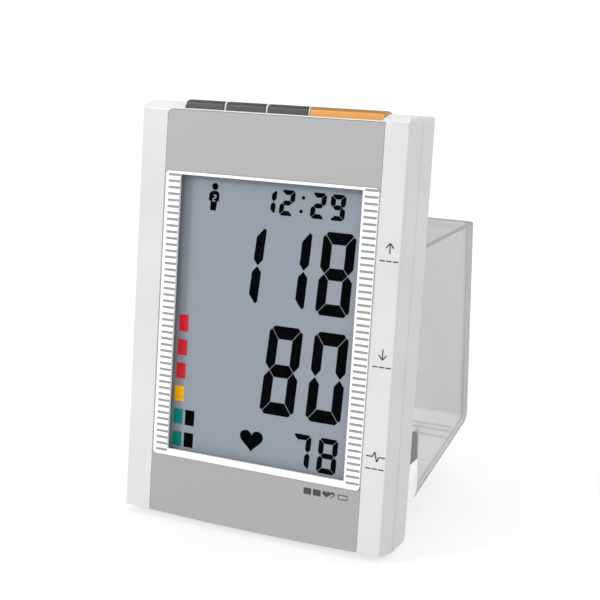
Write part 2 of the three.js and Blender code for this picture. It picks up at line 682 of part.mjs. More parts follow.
// A side bracket: a broad step, and a thin plate above it that guides the catch.
function bracket({ side }) {
  const step = bar(bracketSection(BRACKET_STEP, BRACKET_EDGE), sided(side, plateInner, binHalf));
  const guide = bar(bracketSection(bracketTop, CATCH_CORNER), sided(side, plateInner, plateOuter));
  const slot = block(
    sided(side, plateInner - PAST, plateOuter + PAST),
    grow(tongueY, SLIDE_GAP),
    grow(tongueZ, SLIDE_GAP),
  );
  return cut(join(step, guide), slot);
}

// A rail that holds one of the bin's flanges against the unit's back, so that the bin slides down it.
function rail({ side }) {
  const lipY = [flangeBack + SLIDE_GAP, flangeBack + SLIDE_GAP + RAIL_LIP];
  const railZ = [bracketTop + RAIL_MARGIN, BIN_RIM - RAIL_MARGIN].map((z) => z / Math.cos(LEAN));
  return join(
    block(sided(side, railInner, railOuter), [unitDepth - FUSE, lipY[1]], railZ),
    block(sided(side, railInner, railOuter + RAIL_LAP), lipY, railZ),
  );
}

// Rear shell

const frontFootX = halfWidth - FRONT_FOOT.fromSide;
const backFootX = heelX[1] - BACK_FOOT.fromSide;
const footPlaces = bothSides.flatMap(({ side, label }) => [
  { name: `front_${label}`, x: side * frontFootX, y: unitDepth - FRONT_FOOT.fromBack },
  { name: `back_${label}`, x: side * backFootX, y: backFootY },
]);
const footBottom = -BASE_DROP - FOOT_PROUD;
const footTop = footBottom + FOOT_HEIGHT;

const bayTub = () => (
  block(grow(bayX, BAY_WALL), [bayFront - BAY_FLOOR, innerBack + FUSE], grow(bayZ, BAY_WALL))
);

function rearShell() {
  const wall = common(outerForm, block(everywhere, [PARTING_Y + SEAT_GAP, FAR], everywhere));
  const behindWall = block(everywhere, [unitDepth - FUSE, FAR], everywhere);
  const levelCarriers = join(heel(), ...bothSides.map(bracket));
  const carriers = common(toUnitAxes(levelCarriers), behindWall);
  const bosses = shellScrews.map(({ x, z }) => (
    rod('y', SCREW_BOSS, [PARTING_Y + SEAT_GAP, innerBack + FUSE], [x, z])
  ));
  const saddleZ = [INNER_BOTTOM - FUSE, pumpZ + sleeveOuter + SADDLE_RISE];
  const saddles = sleeves.map(({ x }) => block(around(x, SADDLE_WIDTH), [pumpY, innerBack + FUSE], saddleZ));
  const headY = [unitDepth - SCREW_SINK - SCREW.headHeight, FAR];
  const footHole = ({ x, y }) => (
    toUnitAxes(rod('z', FOOT_RADIUS + SEAT_GAP, [footBottom - PAST, footTop + SEAT_GAP], [x, y]))
  );
  return cut(
    join(cut(wall, cavity), carriers, ...bothSides.map(rail), bayTub(), ...bosses, ...saddles),
    block(bayX, [bayFront, FAR], bayZ),
    block(doorX, [innerBack, FAR], doorZ),
    rod('x', sleeveOuter + SEAT_GAP, [headLeft, motorRight], [pumpY, pumpZ], PUMP_SIDES),
    socketHole(),
    jackHole(),
    ...shellScrews.map((place) => shankHole(place, [PARTING_Y - PAST, FAR])),
    ...shellScrews.map(({ x, z }) => rod('y', SCREW.head + SEAT_GAP, headY, [x, z])),
    ...footPlaces.map(footHole),
  );
}

addPiece(unit, 'rear_shell', rearShell(), whiteShell);

// Front face pieces

function frameOutline(margin) {
  const corners = [FRAME_CORNER, FRAME_CORNER, FRAME_CORNER, FRAME_CORNER];
  return rounded(grow(frameX, margin), grow(frameZ, margin), corners);
}

const viewCorners = [VIEW_CORNER, VIEW_CORNER, VIEW_CORNER, VIEW_CORNER];
const viewOutline = rounded(viewX, viewZ, viewCorners);

addPiece(unit, 'face_panel', cut(
  plate(panelOutline(0), [0, PANEL_THICK]),
  underside(),
  plate(frameOutline(SEAT_GAP / 2), [-PAST, PANEL_THICK + PAST]),
), greyPanel);

addPiece(unit, 'window_frame', cut(
  plate(frameOutline(0), [-FRAME_PROUD, PANEL_THICK]),
  plate(viewOutline, [-PAST, PANEL_THICK + PAST]),
), whiteFrame);

addPiece(unit, 'display_lens', block(lensX, [lensFront, lensFront + LENS_THICK], lensZ), clearLens);

// Display

addPiece(unit, 'lcd_glass', block(glassX, [glassFront, glassBack], glassZ), liquidCrystal);
addPiece(unit, 'lcd_reflector', block(
  glassX, [reflectorFront, reflectorBack], [glassZ[0], viewZ[1]],
), reflectorSheet);

const leftPostX = holderX[0] + POST_INSET;
const rightPostX = holderX[1] - POST_INSET;
const highPostZ = boardZ[1] - BOARD_POST.underBoardTop;
const boardScrews = [
  { name: 'lower_left', x: leftPostX, z: sensorZ[1] + BOARD_POST.overSensor },
  { name: 'lower_right', x: rightPostX, z: boardZ[0] + BOARD_POST.overBoardBottom },
  { name: 'upper_left', x: leftPostX, z: highPostZ },
  { name: 'upper_right', x: rightPostX, z: highPostZ },
];

// A frame that holds the display against the front wall and carries the main board on four posts.
function lcdHolder() {
  const ring = block(holderX, [holderFront, holderBack], grow(glassZ, HOLDER_END));
  const postY = [holderBack - HOLDER_LIP, mainBoardFront - SEAT_GAP];
  const pocket = block(grow(glassX, SEAT_GAP), [holderFront - PAST, holderLedge], grow(glassZ, SEAT_GAP));
  const opening = block(
    grow(glassX, -HOLDER_END),
    [holderFront - PAST, holderBack + PAST],
    [glassZ[0] + HOLDER_END, glassZ[1] - SEAT_GAP],
  );
  const holeY = [holderFront + HOLDER_LIP, mainBoardFront + PAST];
  return cut(
    join(ring, ...boardScrews.map(({ x, z }) => rod('y', POST_RADIUS, postY, [x, z], SMALL_SIDES))),
    pocket,
    opening,
    ...boardScrews.map(({ x, z }) => rod('y', BOARD_SCREW.shank + SEAT_GAP, holeY, [x, z], SMALL_SIDES)),
  );
}

addPiece(unit, 'lcd_holder', lcdHolder(), innerPlastic);

addPiece(unit, 'zebra_strip', block(
  grow(viewX, -ZEBRA_MARGIN),
  [reflectorFront, mainBoardFront - SEAT_GAP],
  [glassZ[1] - ZEBRA_MARGIN - ZEBRA_WIDTH, glassZ[1] - ZEBRA_MARGIN],
), softRubber);

// Boards and what is on them

addPiece(unit, 'main_board', cut(
  block(boardX, [mainBoardFront, mainBoardBack], boardZ),
  ...boardScrews.map(({ x, z }) => (
    rod('y', BOARD_SCREW.shank + SEAT_GAP, [0, unitDepth], [x, z], SMALL_SIDES)
  )),
), circuitBoard);

const onBoard = (height) => [mainBoardBack + SEAT_GAP, mainBoardBack + SEAT_GAP + height];
const underBoardTop = ({ underBoardTop: drop }) => boardZ[1] - drop;
const buzzerX = boardX[1] - BUZZER.fromBoardRight;
const sensorNozzleEnd = sensorZ[0] - SENSOR.nozzle;

addPiece(unit, 'processor', block(
  around(PROCESSOR.x, PROCESSOR.size),
  onBoard(PROCESSOR.height),
  around(underBoardTop(PROCESSOR), PROCESSOR.size),
), blackPart);
addPiece(unit, 'buzzer', rod(
  'y', BUZZER.radius, onBoard(BUZZER.height), [buzzerX, underBoardTop(BUZZER)],
), blackPart);
addPiece(unit, 'pressure_sensor', join(
  block(around(sensorX, SENSOR.width), onBoard(SENSOR.height), sensorZ),
  rod('z', NOZZLE_RADIUS, [sensorNozzleEnd, sensorZ[0] + FUSE], [sensorX, pumpY], SMALL_SIDES),
), blackPart);

addPiece(unit, 'button_board', block(
  buttonBoardX,
  [FRONT_WALL + 2 * SEAT_GAP, BUTTON_BOARD_BACK],
  buttonBoardZ,
), circuitBoard);

// Buttons, each over its own switch

const switchBottom = buttonBoardZ[1] + SEAT_GAP;
const switchTop = switchBottom + SWITCH_HEIGHT + SWITCH_NUB.height;
const stemBottom = switchTop + BUTTON_TRAVEL + SEAT_GAP / 2;

// A button with a round nose and rounded upper corners, a flange at the back that keeps it in its well,
// and a stem.
function buttonCap({ left, right }) {
  const rightCorner = right === buttonRow[1] ? BUTTON_CORNER.rowEnd : BUTTON_CORNER.right;
  const front = rounded([left, right], [0, buttonTop], [FUSE, FUSE, rightCorner, BUTTON_CORNER.left]);
  const cap = common(bar(buttonProfile(skirtZ), [left, right]), plate(front, [0, unitDepth]));
  const flange = block(
    [left, right],
    [BUTTON_BACK_Y - FUSE, BUTTON_BACK_Y + BUTTON_FLANGE.reach],
    [skirtZ, skirtZ + BUTTON_FLANGE.thick],
  );
  const stem = block(
    around((left + right) / 2, BUTTON_STEM.size),
    around(BUTTON_STEM.y, BUTTON_STEM.size),
    [stemBottom, skirtZ + FUSE],
  );
  return join(cap, flange, stem);
}

const switchBody = () => join(
  block(around(0, SWITCH_SIZE), around(0, SWITCH_SIZE), [0, SWITCH_HEIGHT]),
  rod('z', SWITCH_NUB.radius, [SWITCH_HEIGHT - FUSE, SWITCH_HEIGHT + SWITCH_NUB.height], [0, 0], SMALL_SIDES),
);

for (const button of buttons) {
  const switchPlace = [(button.left + button.right) / 2, BUTTON_STEM.y, switchBottom];
  addPiece(unit, button.name, buttonCap(button), button.finish);
  addPiece(unit, button.name.replace('button', 'switch'), switchBody(), blackPart, switchPlace);
}

// Batteries

const cellProfile = [
  [0, 0],
  [CELL_RADIUS, 0],
  [CELL_RADIUS, CELL_LENGTH - CELL_NUB.height],
  [CELL_NUB.radius, CELL_LENGTH - CELL_NUB.height],
  [CELL_NUB.radius, CELL_LENGTH],
  [0, CELL_LENGTH],
].map(([r, z]) => new THREE.Vector2(r, z));
const cellY = bayFront + SEAT_GAP + CELL_RADIUS;
const cellBottom = bayBottom + 2 * SEAT_GAP + CONTACT_THICK;

// The cells stand upright, every other one upside down, with the flat end against a spring cone.
const cells = Array.from({ length: CELL_COUNT }, (_, i) => (
  { name: `battery_cell_${i + 1}`, x: bayLeft + (i + 0.5) * cellPitch, upsideDown: i % 2 === 1 }
));
for (const { name, x, upsideDown } of cells) {
  const cell = new THREE.LatheGeometry(cellProfile, PUMP_SIDES).rotateX(Math.PI / 2);
  if (upsideDown) cell.rotateX(Math.PI).translate(0, 0, CELL_LENGTH);
  addPiece(unit, name, cell, cellJacket, [x, cellY, cellBottom + (upsideDown ? 0 : CONTACT_CONE.height)]);
}

// A contact strip across the bay, with a spring cone for each cell whose flat end it meets.
function contacts(z, conesUp, springCells) {
  const strip = block(
    grow(bayX, -SEAT_GAP),
    grow([bayFront, innerBack], -CONTACT_INSET),
    [z, z + CONTACT_THICK],
  );
  const height = CONTACT_CONE.height + CONTACT_CONE.root;
  const cones = springCells.map(({ x }) => {
    const cone = new THREE.CylinderGeometry(CONTACT_CONE.tip, CONTACT_CONE.base, height, ROUND_SIDES);
    cone.rotateX(conesUp ? Math.PI / 2 : -Math.PI / 2);
    const tipZ = conesUp ? z + CONTACT_THICK + CONTACT_CONE.height : z - CONTACT_CONE.height;
    return cone.translate(x, cellY, conesUp ? tipZ - height / 2 : tipZ + height / 2);
  });
  return join(strip, ...cones);
}

const upperContactZ = bayZ[1] - SEAT_GAP - CONTACT_THICK;
addPiece(unit, 'lower_contacts', contacts(
  bayBottom + SEAT_GAP, true, cells.filter(({ upsideDown }) => !upsideDown),
), nickel);
addPiece(unit, 'upper_contacts', contacts(
  upperContactZ, false, cells.filter(({ upsideDown }) => upsideDown),
), nickel);

// Battery door, which lifts off the back; ribs near its top give the thumb a grip.
function batteryDoor() {
  const [x, z] = [doorX, doorZ].map((span) => grow(span, -SEAT_GAP));
  const surface = unitDepth - DOOR_SINK;
  const gripX = around((doorX[0] + doorX[1]) / 2, DOOR_GRIP.width);
  const ribs = Array.from({ length: DOOR_GRIP.count }, (_, i) => {
    const ribZ = around(z[1] - DOOR_GRIP.inset - DOOR_GRIP.pitch * i, DOOR_GRIP.thick);
    return block(gripX, [surface - DOOR_SINK, unitDepth], ribZ);
  });
  return join(block(x, [innerBack + SEAT_GAP, surface], z), ...ribs);
}

addPiece(unit, 'battery_door', batteryDoor(), whiteShell);

// Air line: pump, valve, sensor tube and the socket for the cuff's plug

const pumpCentre = [pumpY, pumpZ];

addPiece(unit, 'pump_motor', join(
  rod('x', PUMP_RADIUS, [motorLeft, motorRight], pumpCentre, PUMP_SIDES),
  rod('x', MOTOR_HUB.radius, [motorRight - FUSE, motorRight + MOTOR_HUB.height], pumpCentre),
), steel);
addPiece(unit, 'pump_head', join(
  rod('x', PUMP_RADIUS, [headLeft, headRight], pumpCentre, PUMP_SIDES),
  rod('x', NOZZLE_RADIUS, [nozzleEnd, headLeft + FUSE], pumpCentre, SMALL_SIDES),
), blackPart);

for (const { name, x } of sleeves) {
  addPiece(unit, name, cut(
    rod('x', sleeveOuter, around(x, SLEEVE_WIDTH), pumpCentre, PUMP_SIDES),
    rod('x', sleeveInner, around(x, SLEEVE_WIDTH + PAST), pumpCentre, PUMP_SIDES),
  ), softRubber);
}

addPiece(unit, 'air_manifold', block(
  manifoldX, around(pumpY, MANIFOLD.depth), manifoldZ,
), innerPlastic);

// The tube leaves the pump's nozzle to the left, turns upwards and ends under the manifold.
function pumpTube() {
  const bend = [0, 30, 60, 90].map((degrees) => {
    const angle = THREE.MathUtils.degToRad(degrees);
    return [
      tubeX + TUBE_BEND * (1 - Math.sin(angle)),
      pumpZ + TUBE_BEND * (1 - Math.cos(angle)),
    ];
  });
  const points = [[tubeStart, pumpZ], ...bend, [tubeX, manifoldZ[0] - SEAT_GAP]];
  const route = new THREE.CatmullRomCurve3(points.map(([x, z]) => new THREE.Vector3(x, pumpY, z)));
  const section = new THREE.Shape().absarc(0, 0, TUBE_RADIUS, 0, Math.PI * 2);
  return new THREE.ExtrudeGeometry(section, { steps: 12, curveSegments: 8, extrudePath: route });
}
addPiece(unit, 'pump_tube', pumpTube(), tubing);

const aboveManifold = manifoldZ[1] + SEAT_GAP;
addPiece(unit, 'sensor_tube', rod(
  'z', TUBE_RADIUS, [aboveManifold, sensorNozzleEnd - SEAT_GAP], [sensorX, pumpY], SMALL_SIDES,
), tubing);

const valveCentre = [manifoldX[1] - VALVE.radius, pumpY];
const valveTop = aboveManifold + VALVE.length;
addPiece(unit, 'release_valve', join(
  rod('z', VALVE.radius, [aboveManifold, valveTop], valveCentre),
  rod('z', VALVE.capRadius, [valveTop - FUSE, valveTop + VALVE.capHeight], valveCentre, SMALL_SIDES),
), steel);

const insideWall = -innerHalf + SEAT_GAP;
const socketFlangeX = [insideWall, insideWall + SOCKET_FLANGE.thick];
addPiece(unit, 'air_socket', cut(
  join(
    rod('x', SOCKET_RADIUS, [-halfWidth + SOCKET_SINK, manifoldX[0] - SEAT_GAP], socketCentre),
    rod('x', SOCKET_RADIUS + SOCKET_FLANGE.reach, socketFlangeX, socketCentre),
  ),
  rod('x', SOCKET_BORE, [-halfWidth - PAST, -halfWidth + SOCKET_BORE_DEPTH], socketCentre),
), darkGrey);

function powerJack() {
  const right = insideWall + JACK.length;
  const body = block([insideWall, right], around(jackCentre[0], JACK.height), around(jackZ, JACK.width));
  const collar = rod('x', JACK.bore + JACK.rim, [-halfWidth + SOCKET_SINK, insideWall + FUSE], jackCentre);
  const bore = rod('x', JACK.bore, [-halfWidth - PAST, right - JACK.floor], jackCentre);
  const pin = rod('x', JACK.pin, [insideWall, right - JACK.floor / 2], jackCentre, SMALL_SIDES);
  return join(cut(join(body, collar), bore), pin);
}
addPiece(unit, 'power_jack', powerJack(), blackPart);

// Screws, each drawn with the underside of its head at zero and its shank running to the front

const screwBody = ({ shank, head, headHeight, length }) => join(
  rod('y', head, [0, headHeight], [0, 0], SMALL_SIDES),
  rod('y', shank, [headHeight - length, headHeight / 2], [0, 0], SMALL_SIDES),
);
const shellScrewSeat = unitDepth - SCREW_SINK - SCREW.headHeight + SEAT_GAP;
for (const { name, x, z } of shellScrews) {
  addPiece(unit, `${name}_shell_screw`, screwBody(SCREW), steel, [x, shellScrewSeat, z]);
}
for (const { name, x, z } of boardScrews) {
  addPiece(unit, `${name}_board_screw`, screwBody(BOARD_SCREW), steel, [x, mainBoardBack + SEAT_GAP, z]);
}

// Cuff bin, which slides down the rails on the unit's back

// Outline in Y and Z of the bin, drawn in by an inset from its outer faces.
function binRing(inset, bend, top, front) {
  const slope = BIN_FLOOR_SLOPE;
  const rise = (distance) => distance / Math.cos(slope);
  const floorAt = (y) => BIN_FLOOR_Z + (y - BIN_FLOOR_Y) * Math.tan(slope) + rise(inset);
  const back = BIN_BACK - inset;
  const centre = [back - bend, floorAt(back - bend) + rise(bend)];
  const start = THREE.MathUtils.radToDeg(slope) - 90;
  return [[front, floorAt(front)], ...arc(centre, bend, start, 0), [back, top], [front, top]];
}

// The bin's body as a full solid, drawn in by a wall; its upright and lower edges are rounded.
function binForm(wall, top, front) {
  const corner = BIN_CORNER - wall;
  const half = binHalf - wall;
  const steps = 4;
  const right = Array.from({ length: steps + 1 }, (_, i) => {
    const angle = (i / steps) * (Math.PI / 2);
    return { x: half - corner + corner * Math.sin(angle), inset: wall + corner * (1 - Math.cos(angle)) };
  });
  const left = right.toReversed().map(({ x, inset }) => ({ x: -x, inset }));
  return loft([...left, ...right].map(({ x, inset }) => (
    { x, ring: binRing(inset, BIN_FLOOR_BEND - wall, top, front) }
  )));
}

function cuffBin() {
  const walls = cut(
    binForm(0, BIN_RIM, 0),
    binForm(BIN_WALL, BIN_RIM - BIN_LIP.height, -PAST),
    binForm(BIN_WALL + BIN_LIP.thick, BIN_RIM + PAST, -PAST),
  );
  const flanges = bothSides.map(({ side }) => {
    const strip = block(sided(side, flangeInner, binHalf), [flangeFront, flangeBack], [0, FAR]);
    return common(toLevelAxes(strip), binForm(0, BIN_RIM, 0));
  });
  const notches = bothSides.map(({ side }) => block(
    sided(side, Math.min(plateInner, railInner) - LIFT_GAP, FAR),
    [-FAR, BRACKET_BACK + LIFT_GAP],
    [-FAR, bracketTop + LIFT_GAP],
  ));
  const unitSpace = toLevelAxes(block(everywhere, [-FAR, flangeFront], everywhere));
  return cut(join(walls, ...flanges), unitSpace, ...notches);
}

addPiece(monitor, 'cuff_bin', cuffBin(), clearPlastic);

// Side catches on the brackets, pressed inwards; a tongue guides each in its bracket's slot.

function catchBody({ side }) {
  const low = BRACKET_STEP + SLIDE_GAP;
  const back = BRACKET_BACK - CATCH_SINK.back;
  const pad = bar([
    [0, low],
    [back, low],
    ...arc([back - CATCH_CORNER, bracketTop - CATCH_CORNER], CATCH_CORNER, 0, 90),
    [0, bracketTop],
  ], sided(side, catchInner, binHalf - CATCH_SINK.side));
  const tongue = block(sided(side, plateInner - TONGUE.reach, catchInner + FUSE), tongueY, tongueZ);
  const unitSpace = toLevelAxes(block(everywhere, [-FAR, flangeFront], everywhere));
  return cut(join(pad, tongue), unitSpace);
}

for (const at of bothSides) {
  addPiece(monitor, `${at.label}_catch`, catchBody(at), darkGrey);
}

// Rubber feet

for (const { name, x, y } of footPlaces) {
  const foot = rod('z', FOOT_RADIUS, [0, FOOT_HEIGHT], [0, 0]);
  addPiece(monitor, `${name}_foot`, foot, softRubber, [x, y, footBottom]);
}

// The origin goes under the middle of the whole object, on the surface that it stands on.
const bounds = new THREE.Box3().setFromObject(monitor, true);
const centre = bounds.getCenter(new THREE.Vector3());
monitor.position.set(-centre.x, -centre.y, -bounds.min.z);

export default monitor;
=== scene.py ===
# A desk blood pressure monitor with a clear cuff bin, standing on a light table.
# The CAD nodes carry every solid piece. This script gives each its finish and adds what is printed on
# the front face, what the display shows, the fillers of two seams and the fine ribs of the bin.
# Names that end in _MM and all sizes on the front face are in millimetres, everything else in metres.
import json
import math

import bmesh
import bpy
from mathutils import Matrix, Vector


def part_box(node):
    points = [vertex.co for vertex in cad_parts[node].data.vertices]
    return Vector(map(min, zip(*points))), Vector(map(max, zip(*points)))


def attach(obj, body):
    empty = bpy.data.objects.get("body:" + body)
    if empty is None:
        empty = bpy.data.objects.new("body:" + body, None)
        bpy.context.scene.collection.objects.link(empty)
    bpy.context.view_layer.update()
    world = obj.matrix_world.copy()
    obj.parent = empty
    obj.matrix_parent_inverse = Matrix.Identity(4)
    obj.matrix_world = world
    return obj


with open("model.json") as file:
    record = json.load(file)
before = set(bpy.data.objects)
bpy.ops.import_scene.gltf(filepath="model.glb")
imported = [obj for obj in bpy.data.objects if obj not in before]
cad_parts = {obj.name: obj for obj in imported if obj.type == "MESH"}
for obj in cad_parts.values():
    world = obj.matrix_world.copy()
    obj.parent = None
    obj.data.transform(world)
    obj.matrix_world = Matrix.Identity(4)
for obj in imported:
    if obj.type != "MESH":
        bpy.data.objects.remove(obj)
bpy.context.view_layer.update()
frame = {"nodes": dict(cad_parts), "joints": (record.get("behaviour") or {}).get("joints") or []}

MM = 0.001

# The leaning front face. A point on it is (u, depth, v): u to the right of the middle, depth behind the
# front, v up the face from its bottom edge. The bin's joint runs along the lean, and the bin's back and
# rim are this far behind and above the face's bottom edge.
lift = next(joint for joint in frame["joints"] if joint["name"] == "bin_lift")
LEAN = math.atan2(lift["axis"][1], lift["axis"][2])
BIN_BACK_MM = 112.1
BIN_RIM_MM = 114.2
bin_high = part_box("cuff_bin")[1]
FACE_ZERO = Vector((0, bin_high.y - BIN_BACK_MM * MM, bin_high.z - BIN_RIM_MM * MM))
FACE = Matrix.Translation(FACE_ZERO) @ Matrix.Rotation(-LEAN, 4, "X")

# The unit, and the depths just behind its back at which the painted light on the shell's rear starts and is
# full
UNIT_HALF_MM = 60
UNIT_HEIGHT_MM = 173.4
UNIT_DEPTH_MM = 26.3
TOP_CORNER_MM = 4
PAINTED_LIGHT_DEPTHS_MM = (UNIT_DEPTH_MM + 0.2, UNIT_DEPTH_MM + 0.4)

# The tongue in the seam between the shells: its front and back, how far it lies below the surface, its
# thickness, how high it starts, and the steps round each top corner
SEAM_MM = (13.05, 13.25)
SEAM_SINK_MM = 0.06
SEAM_THICK_MM = 0.4
SEAM_START_MM = 1
SEAM_CORNER_STEPS = 4

# The gasket in the slot beside the window frame
GASKET_U_MM = (49.33, 49.87)
GASKET_V_MM = (26.4, 143.2)
GASKET_DEPTH_MM = (0.02, 0.75)

# The bin: its darker lip, its wall, and its floor, which starts at a point behind and above the face's
# bottom edge. The ribs on the floor have a width and a height, sink into it a little, and lie at these
# distances behind that edge.
BIN_LIP_MM = 0.15
BIN_WALL_MM = 1.8
BIN_FLOOR_SLOPE = math.radians(13.8)
BIN_FLOOR_POINT_MM = (50.5, 5.2)
RIB_HALF_MM = 51
RIB_SIZE_MM = (1.3, 0.35)
RIB_SINK_MM = 0.2
RIBS_Y_MM = (102, 98.5, 93.5)

# The camera, at the photograph's viewing angle
CAMERA_PLACE = FACE_ZERO + Vector((259.79, -466.114, 238.19)) * MM
CAMERA_TARGET = FACE_ZERO + Vector((24.672, 0, 100.774)) * MM
CAMERA_LENS = 83.48
EYE = FACE.inverted() @ CAMERA_PLACE / MM

# Depths of the printed layers, from the front face backwards
PRINT_THICK_MM = 0.03
FRAME_PRINT_MM = -0.45
FACE_PRINT_MM = -0.05
DISPLAY_PRINT_MM = 3.34
NUMERAL_PRINT_MM = DISPLAY_PRINT_MM - 2 * PRINT_THICK_MM

# What the display shows, each item where it is seen on the front face. A row of digits has its bottom
# and height, the width of a digit, the thickness of its upright and level strokes, the gap between
# them, and for each digit the right edge at the row's middle height.
ROWS = {
    "time_digits": dict(
        bottom=130.7, height=10.3, width=6.5, upright=2.1, level=1.9, gap=0.2,
        digits=[("1", 4.7), ("2", 13.0), ("2", 26.8), ("9", 35.25)],
    ),
    "systolic_digits": dict(
        bottom=92.8, height=33.3, width=14.45, upright=4.1, level=4.75, gap=0.3,
        digits=[("1", 0.0), ("1", 20.8), ("8", 40.25)],
    ),
    "diastolic_digits": dict(
        bottom=49.5, height=36.7, width=15.2, upright=4.3, level=5.25, gap=0.3,
        digits=[("8", 19.2), ("0", 39.75)],
    ),
    "pulse_digits": dict(
        bottom=29.1, height=14.5, width=8.5, upright=2.25, level=2.2, gap=0.22,
        digits=[("7", 26.6), ("8", 38.6)],
    ),
}
SEGMENTS = {
    "0": "abcdef", "1": "bc", "2": "abdeg", "7": "abc", "8": "abcdefg", "9": "abcdfg",
}
MITRE_TRIM = 0.7
DIGIT_SLANT = 0.089
DIGIT_FAN = 0.0012
COLON = [(16.8, 138.5), (16.1, 133.0)]
COLON_RADIUS = 0.75

# Outlines of the pictograms on the display, and its level blocks as left edge, bottom and top
PERSON_HEAD = dict(centre=(-23.5, 139.8), radius=1.45)
PERSON_BODY = [
    (-25.35, 130.0), (-24.10, 130.0), (-24.05, 131.0), (-24.00, 130.0), (-22.75, 130.0),
    (-22.35, 133.8), (-21.45, 134.0), (-21.40, 136.6), (-21.85, 137.5), (-22.55, 138.0),
    (-24.55, 138.0), (-25.45, 137.5), (-26.05, 136.6), (-26.25, 134.0), (-25.35, 133.8),
]
CHEST_NUMERAL = dict(
    bottom=133.7, height=2.7, width=1.5, upright=0.36, level=0.36, gap=0, digits=[("2", -22.9)],
)
HEART = dict(centre=(-0.35, 36.9), width=10.7, height=9.1)
LEVEL_BLOCKS = {
    "red_blocks": [(-37.3, 78.4, 85.5), (-37.4, 68.4, 75.0), (-37.6, 58.4, 65.0)],
    "yellow_block": [(-37.8, 48.7, 55.2)],
    "green_blocks": [(-37.9, 38.9, 45.4), (-37.95, 29.5, 35.7)],
    "black_blocks": [(-32.3, 38.9, 45.4), (-32.4, 29.5, 35.7)],
}
BLOCK_WIDTH = 4.4

# Scale marks on the two upright bands of the window frame: left end, right end, height of the lowest
TICK_COUNT = 45
TICK_PITCH = 2.645
TICK_THICK = 1.0
TICK_BANDS = {"left_ticks": (-45.6, -40.15, 26.85), "right_ticks": (43.3, 49.0, 27.45)}

# Small pictograms on the grey panel below the window: bottom and top, left and right edges of the
# squares and the battery, and middle and width of the two hearts
ICON_LEVEL = (19.5, 22.1)
ICON_SQUARES = [(24.9, 28.3), (29.1, 32.5)]
ICON_HEART_FULL = (35.1, 3.8)
ICON_HEART_RING = (36.9, 3.7)
ICON_RING_STEPS = 24
ICON_BATTERY = (40.2, 44.4)
ICON_LINE = 0.3

# Generic marks beside the three values: an arrow up, an arrow down and a pulse line, each with dashes
MARK_U = (51.2, 59.2)
MARK_LINE = 0.5
MARKS_V = {"upper_mark": (120.0, 124.1), "lower_mark": (78.4, 82.6), "pulse_mark": (37.7, 41.7)}
ARROW_WING = 1.6
ARROW_HEAD_SHARE = 0.45
PULSE_BEAT = (2.6, 3.6, 4.6, 5.4)
DASH_COUNT = 3
DASH_DROP = 2.9
DASH_LENGTH = 2.2
DASH_PITCH = 2.8


# Geometry helpers


def on_face(u, depth, v):
    """A point of the leaning front face, given in millimetres, in the row frame."""
    return FACE @ Vector((u * MM, depth * MM, v * MM))


def behind_lens(outlines, depth):
    """Outlines on a layer behind the front face that the camera sees at the given places on the face."""
    share = depth / -EYE.y
    return [
        [(u + (u - EYE.x) * share, v + (v - EYE.z) * share) for u, v in outline]
        for outline in outlines
    ]


def prism_mesh(name, prisms):
    """A mesh of closed solids, each between two outlines with the same number of points."""
    mesh = bpy.data.meshes.new(name)
    form = bmesh.new()
    for first, last in prisms:
        start = [form.verts.new(point) for point in first]
        end = [form.verts.new(point) for point in last]
        form.faces.new(start)
        form.faces.new(reversed(end))
        for i, corner in enumerate(start):
            after = (i + 1) % len(start)
            form.faces.new((end[i], end[after], start[after], corner))
    bmesh.ops.recalc_face_normals(form, faces=form.faces)
    form.to_mesh(mesh)
    form.free()
    return mesh


def new_object(name, mesh, material):
    piece = bpy.data.objects.new(name, mesh)
    bpy.context.scene.collection.objects.link(piece)
    mesh.materials.append(material)
    return piece


def printed(name, outlines, depth, material, thick=PRINT_THICK_MM):
    """A thin layer in the housing: outlines of (u, v) points, anticlockwise as seen from the front."""
    prisms = [
        [[on_face(u, layer, v) for u, v in outline] for layer in (depth - thick, depth)]
        for outline in outlines
    ]
    piece = new_object(name, prism_mesh(name, prisms), material)
    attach(piece, "housing")


def disc(centre, radius, steps=20):
    turns = [2 * math.pi * i / steps for i in range(steps)]
    return [(centre[0] + radius * math.cos(a), centre[1] + radius * math.sin(a)) for a in turns]


def box_outline(left, right, bottom, top):
    return [(left, bottom), (right, bottom), (right, top), (left, top)]


def stroke(start, end, thick):
    """A straight line of the given thickness."""
    (u0, v0), (u1, v1) = start, end
    length = math.hypot(u1 - u0, v1 - v0)
    du, dv = (u1 - u0) / length * thick / 2, (v1 - v0) / length * thick / 2
    return [(u0 + dv, v0 - du), (u1 + dv, v1 - du), (u1 - dv, v1 + du), (u0 - dv, v0 + du)]


def strokes(path, thick):
    """A chain of straight lines through the points of a path."""
    return [stroke(start, end, thick) for start, end in zip(path, path[1:])]


def heart_outline(centre, width, height, steps=48):
    """The usual heart curve: before it is scaled, it is 32 wide and 29 high, with its middle 2.5 down."""
    points = []
    for i in range(steps):
        a = 2 * math.pi * i / steps
        x = 16 * math.sin(a) ** 3
        y = 13 * math.cos(a) - 5 * math.cos(2 * a) - 2 * math.cos(3 * a) - math.cos(4 * a)
        points.append((centre[0] - x * width / 32, centre[1] + (y + 2.5) * height / 29))
    return points


